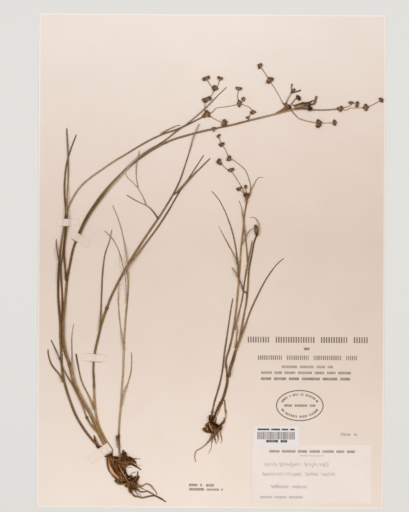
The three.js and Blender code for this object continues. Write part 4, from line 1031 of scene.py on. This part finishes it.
# Lumps are x,y,length,width,height,degrees; under, over and roots are strands, the lowest first; hairs and
# crumbs are strewn at random over their patches
rootstocks = {
    "large_rootstock": dict(
        grain=0.4, rough=[(2.6, 0.7), (0.9, 0.4)], tones="0.3 bark, 0.5 umber, 0.62 drab, 0.8 tan",
        lumps="60.8,41.4,4.5,6,1.8,20 63.2,36,5.4,10,1.6,27 67,33.4,5.6,12,1.8,27 70.6,30.6,5.6,11,1.8,27 "
        "73.4,32,3.4,7,1.6,27 66.5,41.6,7,4,2.4,-10 70.4,41,6,4,2.6,-10 74,42.4,5.4,4.6,2.6,-15 "
        "78.6,40,6,3.6,2.2,-20 72.6,37.2,8,3.6,2.2,-14 77,37,5,2.6,2,-14 82,20.6,6,5.4,2.2,10 "
        "86,18.4,4.4,2.4,1.5,-8 79.8,18,5,4,2,0 76,18.5,4,3,1.8,0 79,14.6,3,4.5,1.7,10 83,16.6,3.5,3.5,1.8,0 "
        "68,22.8,4.5,4.5,1.8,0 71.5,21,4,3,1.8,0 74.5,22.6,4,3,1.9,0 72,26.6,5,6,1.8,27 76,25,4.5,4.5,1.8,27 "
        # the low lump at 79.4,26.6 fills the shaded hollow inside the curve of strands: painted shade
        "79,23,4.6,3.4,1.8,0 79.4,26.6,3.4,2.4,1.2,0 64.5,39.5,4,4,1.8,0 68.3,28,3,5,1.6,27 "
        "78,22.5,4,3,1.8,0 75.5,40,4,3,2,0 65.2,26.6,2.4,4.4,1.4,27 82.2,23.9,4,3,1.6,30 79,20.2,4,3.4,1.7,0 "
        "75.2,21.2,3.2,3,1.6,0 70.8,24.6,3.2,3.2,1.6,0 80,16,3.2,3,1.6,0",
        under="57.2,42.8 59.4,43.8 61.4,44.8 62.4,45.9|1.1 1.8 0.9|bark umber bark; 62.2,46 62.8,44.2 "
        "63.6,42.8|1 1.5 1.6|bark; 63.7,47.6 63.4,46.2 63.8,44.6|0.5 1 1|sage drab; 59.3,42.2 59.2,38.6 "
        "59.5,35.6 60.6,31.6 63,28 65.6,25.2|1.2 1.3 1|umber olive khaki tan; 61.6,41.6 62.2,38.8 63.4,35.2 "
        "65.2,31.8 67,29.2 69,26.6|1.1 1.6 1.2|rust bark brick; 66,39.6 66.6,36.8 67.4,33.6 68.2,30.4 "
        "69.4,27.2|2.6 4.4 2.2|bark brick nut umber; 69.2,35 70.4,31.6 71.6,28.6 72.6,26.2|1.3 1.7 1.2|soot "
        "umber bark; 64,42.6 66,42.4 68,42.2 69.6,42.4|1.6 2.4 1.4|umber bark soot umber; 66.4,38.6 70,38 "
        "74,37.2 78,36.6 80.6,37|1.4 2.2 1.2|brick brick umber; 70.6,36.6 73,35.4 75.8,34.4|2.2 3 1.8|umber "
        "olive drab; 70,36.4 71.6,34.4 73,32.4 74.2,31 75.2,28.8 76.6,27 78.4,25.8 80,25|1 1.6 1.2|umber "
        "bark soot soot bark; 72.6,48.8 72.7,46.8 72.6,44.6 72.8,42.4|1.2 2.6 2.4|olive bark bark umber; "
        "74.4,47.2 74.9,45.2 74.8,43.2 74.2,41.2|0.8 2 1.8|umber bark umber; 71.4,41.6 74,41.2 76.8,40.5 "
        "79,40|1.4 2.2 1.4|umber soot bark; 76.2,38.6 79.4,38.6 82.2,37.8|1.6 2 1|umber drab mauve; 76.6,43 "
        "78.6,42.2 80.4,40.8 82,39.4 83.6,37.6|1.2 2.2 1|umber soot bark umber; 78,38 79.8,37 82.4,35.4 "
        "85.2,33.8 87.6,31.8|1.2 1.6 0.8|bark soot umber olive; 65.9,22.6 67.6,23.8 69,24.4|1.3 1.9 1.2|bark "
        "rust; 66.6,22.2 68.4,20.8 70.4,19.8|1.3 1.7 1.2|bark olive tan; 69.6,22.2 71.2,21.8 73,21.4 "
        "74.6,22.2|1.4 1.9 1.3|soot bark soot; 74,25 75,23.6 75.6,22|1.2 1.5 1|brick bark; 76.8,23.4 "
        "78.6,23.4 80.6,24.4 82.2,25.4 83.4,26.6|1.6 1.9 1.3|bark soot bark; 85.9,27 85.6,25.6 84.6,23.8 "
        "83.6,21.6 83.2,19.6|1.4 1.9 2.2|umber bark umber soot; 80.6,22 83,19.8 86,18.4 89.4,18.3|2.6 "
        "3.2 1.1|umber drab mauve dust; 80.2,20.2 80.6,18.2 82,16.8 83.8,16|1.4 1.9 1.3|soot bark soot; "
        "74.8,18 76.4,18 77.6,19.2|1.3 1.7 1.2|olive bark; 77.8,20 78.6,17.6 79.2,15.6 78.8,13|1.4 "
        "2.2 1.4|rust bark rust; 82,17 83.2,15 83.4,13|1.2 1.4 0.8|bark rust; 80.4,21.4 81.4,21.8|1.2 "
        "1.4 1.2|soot",
        over="60.3,41.4 60.6,38.4 61.2,35.4 62.6,32 64.8,29 67,26.8 69.2,24.8|0.9 2.5 1.9|tan rose cream "
        "cream rose; 61.2,43 61.4,40.8 62,38.6 62.6,36.8|1 0.9 0.5|rust amber rust; 62.3,41.8 63.2,39.8 "
        "64.3,37 65.6,34.4|0.6 1.1 0.6|rose sage mauve; 68.8,36.8 70.2,33.8 72,30.6 73.8,27 75.6,24.2 "
        "77.4,21.4 78.4,18.6|0.9 1.2 1|rose mauve dust tan mauve tan; 65,41 68,39.8 71.4,38.4 74.6,37.8 "
        "77.4,36.8|0.6 0.9 0.6|tan mauve tan mauve; 71.8,40 74.4,39 77.2,38|0.5 0.9 0.5|sage dust; 69.8,46 "
        "69.9,43.4 69.8,40.4|1.6 1.4 1.1|rose mauve mauve; 80,38.8 82,38.2 83.8,36.6 85,35.6|0.6 "
        "0.9 0.5|tan; 69.8,30.2 70.8,27.4 71.4,24.8 71,23.4|0.7 0.9 0.7|mauve tan rose; 70.2,23 71.6,22.8 "
        "72.6,23.8 73,25.6|0.7 0.8 0.6|tan straw tan; 69.2,19.8 71.8,19.9 74.6,20.2 77,20.8|1 1.3 0.9|tan "
        "straw tan; 84.9,30.8 84.9,28.6 84.4,26.6 83.4,25|0.9 1.4 1|tan khaki tan; 79.2,22.2 80.2,20.6 "
        "80.8,18.8|0.7 0.8 0.5|mauve tan; 76.4,20.4 77.2,17.6 77.4,15|0.7 0.8 0.5|mauve; 80,14.6 82,15.2 "
        "84.4,15.2|0.6 0.8 0.6|tan",
        roots="77,33.9 78.6,33.7 80.4,33.8|0.7 0.6 0.4|mauve; 83.2,30.2 81,29.3 78.8,28.4|0.5 0.7 0.5|drab; "
        "80.6,41.6 84,41.3 87.6,41.1|1 0.8 0.4|umber drab; 85.9,36 88.1,35.1|0.6 0.7 0.4|pale; 80,12.4 "
        "82.5,9.9 85.9,9.3 88.1,8.4 91.8,9 95.9,10 99.6,10.2 102.4,9 105.2,7.5 108.9,5|1.6 1.6 1.3|mauve tan "
        "mauve umber umber; 84.8,15.8 86.9,13.7 89.7,13.4 93.1,14 96.5,12.4 99,10.9|1.7 1.8 1.4|umber mauve "
        "umber; 88.6,18.6 90.6,19.4 92.5,20.2 95.6,19.2 98,16.5 100.5,13.4 101.2,11|1.2 1.3 1|rose dust "
        "rose; 87,17.4 90.3,15.5 93,14.6|1 1 0.7|dust; 84,13 86.4,11.6 88.6,9.4|0.6 0.7 0.5|pale dust; "
        "83,13.4 84.6,11.4 86,9.6|0.6 0.7 0.5|dust",
        hairs=[
            dict(count=14, x=(60, 74), y=(26, 44), heading=(-62, 8), length=(4, 9),
                 tones="tan umber bark mauve"),
            dict(count=12, x=(68, 82), y=(36, 45), heading=(-20, 16), length=(3, 7),
                 tones="umber mauve bark tan"),
            dict(count=20, x=(68, 86), y=(14, 26), heading=(-40, 50), length=(2, 5),
                 tones="umber tan mauve")],
        crumbs=[
            dict(count=40, x=(58, 84), y=(24, 47), size=(0.3, 0.8), stray=0.02),
            dict(count=50, x=(66, 88), y=(12, 30), size=(0.3, 0.9), stray=0.03)],
        crumbTones="bark rust nut tan mauve"),
    "small_rootstock": dict(
        grain=0.35, rough=[(2.2, 0.5), (0.8, 0.35)], tones="0.3 bark, 0.5 umber, 0.65 drab, 0.85 tan",
        lumps="149.8,69.4,5.5,5,2.2,0 146.2,73,4.2,3,2,70 146,76.2,2.6,3,1.8,0 143.4,70.6,3.4,2.4,1.7,30 "
        "141.6,66.6,3.6,3,1.6,0 145.2,65.6,4,3,1.8,0 147.6,63,3,2.6,1.7,0 151.6,65,3.4,2.6,1.7,0 "
        "153.8,66.4,2.4,2.2,1.6,0 154.4,69.4,3,2.4,1.7,0 147.6,67.6,5,4,2,0 143.8,68.4,4,3.4,1.7,0 "
        "150.4,66.4,5,4,1.9,0 156.4,72.4,1.8,2.8,1.5,-30 147.6,71,3,3,1.8,0 153.5,67.6,3,3,1.7,0 "
        "149.5,66.5,3,3,1.8,0 149,64.2,3,2.6,1.6,0",
        under="145.6,78.4 145.6,76.4 146.2,74.2 146.8,72.4|1.6 3 2.4|umber bark soot; 149.2,78.2 148.8,76 "
        "148,74 147,72.6|1.6 1.8 1.6|umber bark soot; 146.2,73.8 144.6,71.8 143,70.4 141.8,69.6|1.4 "
        "1.8 1|bark rust; 144.9,70.6 145,68 145.4,65.6 146.4,63.6|1 1.8 1.2|umber bark soot umber; "
        "139.8,67.2 141.4,66.4 143.4,66.2|1.6 3 2|umber peat umber; 140.8,65 143,64 145.4,63.6|1.2 "
        "1.6 1|drab; 147.6,72.4 149.4,70.8 151.4,69.6 153.4,69.4|2 3.6 1.8|soot; 150.6,74.2 150,72 "
        "149.6,70|0.8 1.2 1.4|umber soot; 157.4,76 157.8,74.2 156.8,72.4 155.2,70.8 153,69.6|0.9 "
        "1.9 1.8|umber rust umber bark; 155.6,69.4 154.6,67 153.4,65|1.6 1.9 1.2|rust bark rust; 148.8,69 "
        "149.6,66.6 151,64.4 151.8,62.6|2.2 2.6 1.4|bark umber rust umber; 147,66.6 147.6,64.4 "
        "147.6,62.2|1.2 1.8 1.2|umber bark rust",
        over="144.8,72 145.6,69.6 146.8,67 147.8,65|0.9 1.5 0.8|rose dust rose; 150.9,77.4 150.7,75.6 "
        "150.4,73.8|0.7 0.8 0.5|tan umber; 142.6,68.6 143.6,66.6 144,64.8|0.6 1 0.5|rose; 149,67.6 "
        "149.6,65.2 150.2,62.8|0.6 0.8 0.5|tan; 152.4,68 152.8,65.6|0.6 0.7 0.5|mauve; 155.2,88.4 154,84.6 "
        "152.8,81 151.5,78|1.3 1.4 0.9|straw wheat pale",
        roots="147.8,63 147.2,60.8 145.6,57.6 143.8,55.6 141.4,53.1 138.6,50.8 135.5,49 133.8,47.5 133,45 "
        "133,42 133.8,39|2 1 0.75|mauve mauve rose rose dust; 149,62.6 148.4,60.6 148,58.8 147.8,55|1.6 "
        "1.2 0.6|tan tan pale; 150.2,62.4 149.6,60 150,57.2 151.2,54|1.4 1.1 0.8|tan umber dust; 151.6,63 "
        "152.2,61 152.5,58.7 152.2,55.6|1.5 1.2 0.7|rust tan pale; 154,66 154.4,64 155,61 155.7,58 "
        "155,54.8|0.7 0.9 0.6|dust pale drab dust; 147,63 147,55 146.8,51 146,49 144.5,46|0.8 0.7 0.5|tan "
        "pale dust",
        hairs=[
            dict(count=22, x=(140, 157), y=(62, 76), heading=(-95, 30), length=(2, 5),
                 tones="bark umber tan mauve"),
            dict(count=7, x=(146, 153), y=(60, 63), heading=(-90, 14), length=(3, 6),
                 tones="dust pale", free=True)],
        crumbs=[
            dict(count=44, x=(140, 157), y=(61, 76), size=(0.3, 0.7), stray=0.03)],
        crumbTones="bark rust nut mauve"),
}
for node, look in rootstocks.items():
    addRootstock(node, look)
bpy.data.objects.remove(crumbShape)

# Old scales around the feet of the large plant's stems, and thin dark lines of painted shadow along the lifted
# edges of two straps
scales = addStrands("base_scales_and_strap_shadows", "culm", strands(
    "49.7,52.9 51.6,50.6 55,51.6|0.9 1.6 1|bark umber; 49.2,55.4 48.4,58.4 48,61.3|1.1 1 0.6|umber tan; "
    # from here on: painted shadow lines at the lifted edges of strap_middle and strap_fork
    "27.7,226.4 30.4,224.7 33.3,222.9|0.3 0.4 0.3|tan umber umber; 40.6,129.6 43.6,129.5 46.4,129.2|0.25 "
    "0.4 0.5|dust mauve umber; 49.6,129 52.4,128.8 57,128.5|0.5 0.4 0.25|umber mauve dust; 42,122.8 "
    "44.6,122.7 46.6,122.7|0.25 0.35 0.4|dust mauve; 49.4,122.6 52,122.5 55,122.4|0.4 0.35 0.25|mauve dust"),
    topOf(made), softened, sink=0.6)
finish(scales, driedRoot, None)
print("rootstocks made")


# Straps: gummed paper bands that follow what they hold down

straps = {
    "strap_top": dict(centre=(25, 240), length=19.5, width=6, degrees=2),
    "strap_middle": dict(centre=(35.4, 226.2), length=18, width=6.8, degrees=-30),
    "strap_fork": dict(centre=(47.8, 126.2), length=22, width=6.2, degrees=-4),
    "strap_base": dict(centre=(52.7, 45.7), length=21.1, width=7.5, degrees=35),
}
strapLook = dict(step=0.35, steep=0.9, paper=0.12, clearance=0.06, glued=0.14, spreads=14, eases=6)


def addStrap(node, look, height):
    across, along = round(look["width"] / strapLook["step"]), round(look["length"] / strapLook["step"])
    bpy.ops.mesh.primitive_grid_add(x_subdivisions=along, y_subdivisions=across, size=1)
    strap = bpy.context.object
    strap.name = node + "_paper"
    turn = math.radians(look["degrees"])
    cosine, sine = math.cos(turn), math.sin(turn)
    spots = {}
    for vertex in strap.data.vertices:
        i, j = round((vertex.co.x + 0.5) * along), round((vertex.co.y + 0.5) * across)
        u = (i / along - 0.5) * look["length"]
        v = (j / across - 0.5) * look["width"]
        if i in (0, along):
            u += 0.25 * noise.noise(Vector((v * 0.9, look["length"], i)))
        if j in (0, across):
            v += 0.12 * noise.noise(Vector((u * 0.35, look["width"], j)))
        x = look["centre"][0] + u * cosine - v * sine
        y = look["centre"][1] + u * sine + v * cosine
        spots[i, j] = [x, y, height(x, y) + strapLook["clearance"], vertex.index]
    # tents over each stalk: no steeper than the paper bends, then eased
    drop = strapLook["steep"] * strapLook["step"]
    beside = ((1, 0), (-1, 0), (0, 1), (0, -1))
    for _ in range(strapLook["spreads"]):
        for (i, j), spot in spots.items():
            for di, dj in beside:
                other = spots.get((i + di, j + dj))
                if other and other[2] - drop > spot[2]:
                    spot[2] = other[2] - drop
    floor = {key: spot[2] for key, spot in spots.items()}
    for _ in range(strapLook["eases"]):
        eased = {}
        for (i, j), spot in spots.items():
            around = [spots[i + di, j + dj][2] for di, dj in beside if (i + di, j + dj) in spots]
            eased[i, j] = max(floor[i, j], (spot[2] + sum(around)) / (1 + len(around)))
        for key, value in eased.items():
            spots[key][2] = value
    # the gummed ends are pressed into the sheet and taper out
    for (i, j), (x, y, z, index) in spots.items():
        z -= strapLook["glued"] * max(0, 1 - min(i, along - i) / 4)
        strap.data.vertices[index].co = place(x, y, z)
    thicken = strap.modifiers.new("paper", "SOLIDIFY")
    thicken.thickness = strapLook["paper"] * mm
    thicken.offset = 1
    bpy.ops.object.modifier_apply(modifier=thicken.name)
    bpy.ops.object.shade_smooth()
    strap.select_set(False)
    finish(strap, strapPaper, node)


heldDown = topOf(made)
for node, look in straps.items():
    addStrap(node, look, heldDown)
print("straps laid")


# Print, stamps and handwriting, as plain ink strokes with no letters; a stroke is (x, y, length, breadth,
# degrees)

inkLook = dict(thick=0.02, onSheet=0.505, onLabel=0.715)


def inkMesh(name, material, level, strokes):
    # each stroke is a thin closed slab
    work = bmesh.new()
    for x, y, length, breadth, degrees in strokes:
        middle = Matrix.Translation(place(x, y, inkLook[level] + inkLook["thick"] / 2))
        turned = Matrix.Rotation(math.radians(degrees), 4, "Z")
        size = Matrix.Diagonal((length * mm, breadth * mm, inkLook["thick"] * mm, 1))
        bmesh.ops.create_cube(work, size=1, matrix=middle @ turned @ size)
    mesh = bpy.data.meshes.new(name)
    work.to_mesh(mesh)
    work.free()
    piece = bpy.data.objects.new(name, mesh)
    bpy.context.collection.objects.link(piece)
    finish(piece, material, None)


def rows(make, text):
    # the strokes of some rows of the same kind
    return [stroke for row in points(text) for stroke in make(*row)]


def tickRow(x0, x1, y, height, weight, seed):
    # groups of plain upright ticks where the printed words stand
    rng = random.Random(int(seed))
    strokes = []
    pitch = height * 0.42
    x = x0
    while x < x1:
        groupEnd = min(x1, x + rng.uniform(6, 16) * pitch)
        while x < groupEnd:
            strokes.append((x, y, weight * pitch * rng.uniform(0.85, 1.15), height, 0))
            x += pitch
        x += 2.2 * pitch
    return strokes


def strokeAlong(start, end, longer, extra, breadth):
    # a stroke from start to end, a little longer than their distance
    dx, dy = end[0] - start[0], end[1] - start[1]
    return ((end[0] + start[0]) / 2, (end[1] + start[1]) / 2, math.hypot(dx, dy) * longer + extra, breadth,
            math.degrees(math.atan2(dy, dx)))


def penRow(x0, x1, y, height, weight, seed):
    # a pen line that waves up and down, broken into words
    rng = random.Random(int(seed))
    strokes = []
    x = x0
    while x < x1:
        wordEnd = min(x1, x + rng.uniform(8, 18))
        previous = (x, y)
        up = True
        while x < wordEnd:
            x += rng.uniform(0.5, 1.1) * height * 0.33
            swing = height * rng.uniform(0.25, 0.5) * (1.9 if rng.random() < 0.15 else 1)
            spot = (x, y + (swing if up else -swing * 0.8))
            strokes.append(strokeAlong(previous, spot, 1, weight * 0.6, weight * rng.uniform(0.7, 1.2)))
            previous = spot
            up = not up
        x += rng.uniform(1.5, 3)
    return strokes


def onOval(centre, radii, angle):
    return centre[0] + radii[0] * math.cos(angle), centre[1] + radii[1] * math.sin(angle)


def arcRow(centre, radii, start, end, size, weight, seed):
    # short strokes that stand on an oval, from one angle to another
    rng = random.Random(seed)
    strokes = []
    angle, last = math.radians(start), math.radians(end)
    step = (1 if last > angle else -1) * size * 0.62 / (sum(radii) / 2)
    while (last - angle) * step > 0:
        outward = math.degrees(math.atan2(math.sin(angle) / radii[1], math.cos(angle) / radii[0]))
        if rng.random() > 0.14:
            strokes.append((*onOval(centre, radii, angle), size, weight * rng.uniform(0.8, 1.3), outward))
        angle += step * rng.uniform(0.85, 1.15)
    return strokes


def ovalRing(centre, radii, weight, count=96):
    corners = [onOval(centre, radii, 2 * math.pi * i / count) for i in range(count + 1)]
    return [strokeAlong(a, b, 1.03, 0, weight) for a, b in zip(corners, corners[1:])]


# Rows are x0,x1,y,height,weight,seed
inkMesh("print_block", printInk, "onSheet", rows(
    tickRow, "177.6,279.4,142.2,5,0.54,3 224.8,229.6,134.6,2.3,0.85,4 186.2,268.6,127.1,3.8,0.5,5 "
    "206.4,248.6,119.4,2.2,0.55,6 188.8,265.2,114.4,2.2,0.63,7 188.8,265.6,109.3,2.3,0.75,8"))
stampMiddle, stampRow = (221.2, 86.8), (15.8, 9.4)
inkMesh("oval_stamp", paleInk, "onSheet",
        ovalRing(stampMiddle, (19.6, 12.7), 1.0) + arcRow(stampMiddle, stampRow, 160, 20, 1.9, 0.8, 12)
        + arcRow(stampMiddle, stampRow, 200, 340, 1.9, 0.8, 13) + tickRow(208.5, 234.5, 86.8, 2.0, 0.75, 14))
inkMesh("small_stamp", paleInk, "onSheet", rows(
    tickRow, "128.5,139,19.4,2.2,0.73,21 128.5,141,15.8,2.2,0.73,22 143,150,19.2,2.4,0.65,23 "
    "143.4,157,15.6,1.8,0.65,24"))
inkMesh("pencil_mark", pencil, "onSheet", penRow(255.5, 269.5, 62.4, 2.6, 0.42, 31))
headingRule = (231.5, 44.5, 21, 0.28, 0)
inkMesh("label_heading", printInk, "onLabel",
        [headingRule] + rows(tickRow, "196,268,48.2,2.1,0.65,41 188.5,224,9.5,1.9,0.36,42"))
inkMesh("label_pen_lines", penInk, "onLabel",
        rows(penRow, "191,246,37,3.4,0.22,51 190,251,28.8,3.6,0.25,52 197,227,18.2,3.4,0.28,53"))
barRng = random.Random(61)
bars, barX = [], 185.6
while barX < 216.8:
    breadth = barRng.choice((0.35, 0.45, 0.6, 0.8))
    bars.append((barX + breadth / 2, 61.4, breadth * 0.74, 6.4, 0))
    barX += breadth + barRng.choice((0.25, 0.3, 0.45))
inkMesh("label_bars", barInk, "onLabel",
        bars + rows(tickRow, "186,217,66.6,1.5,0.95,62 193.4,210.8,56.7,2.2,0.85,63"))
print("print laid")


# The sheet and the labels keep their CAD shape and get their paper
papers = dict(mounting_sheet=sheetPaper, main_label=labelPaper, catalogue_label=catalogueLabelPaper)
for node, material in papers.items():
    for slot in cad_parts[node].material_slots:
        slot.material = material


# Floor, light and colour handling; the floor is a pale grey, nearly matt table top
floorLook = dict(size=3, tone="dcdad6", roughness=0.8)
bpy.ops.mesh.primitive_plane_add(size=floorLook["size"], location=(0, 0, -0.0001))
floor = bpy.context.object
floor.name = "floor"
bpy.ops.object.transform_apply()
floorMaterial, tree = newMaterial("paleTableTop")
grain = addNoise(tree, addNode(tree, "TexCoord").outputs["Object"], 300, 2)
finishMaterial(tree, linear(floorLook["tone"]), floorLook["roughness"], grain.outputs[0], 0.1, 0.0002)
floor.data.materials.append(floorMaterial)
floor.select_set(False)

lightLook = dict(at=(0.93, 0.1, 1.3), size=0.9, power=10.9, world=0.43)
for name, side in (("leftPanel", -1), ("rightPanel", 1)):
    at = Vector((side * lightLook["at"][0], *lightLook["at"][1:]))
    bpy.ops.object.light_add(type="AREA", location=at)
    light = bpy.context.object
    light.name = name
    light.data.shape = "SQUARE"
    light.data.size = lightLook["size"]
    light.data.energy = lightLook["power"]
    light.rotation_euler = (-at).to_track_quat("-Z", "Y").to_euler()
    light.select_set(False)
world = bpy.data.worlds.new("studio")
bpy.context.scene.world = world
world.use_nodes = True
background = world.node_tree.nodes["Background"]
background.inputs["Color"].default_value = (1, 1, 1, 1)
background.inputs["Strength"].default_value = lightLook["world"]
bpy.context.scene.view_settings.view_transform = "Standard"

for shape in sections.values():
    bpy.data.objects.remove(shape)
print("scene done")
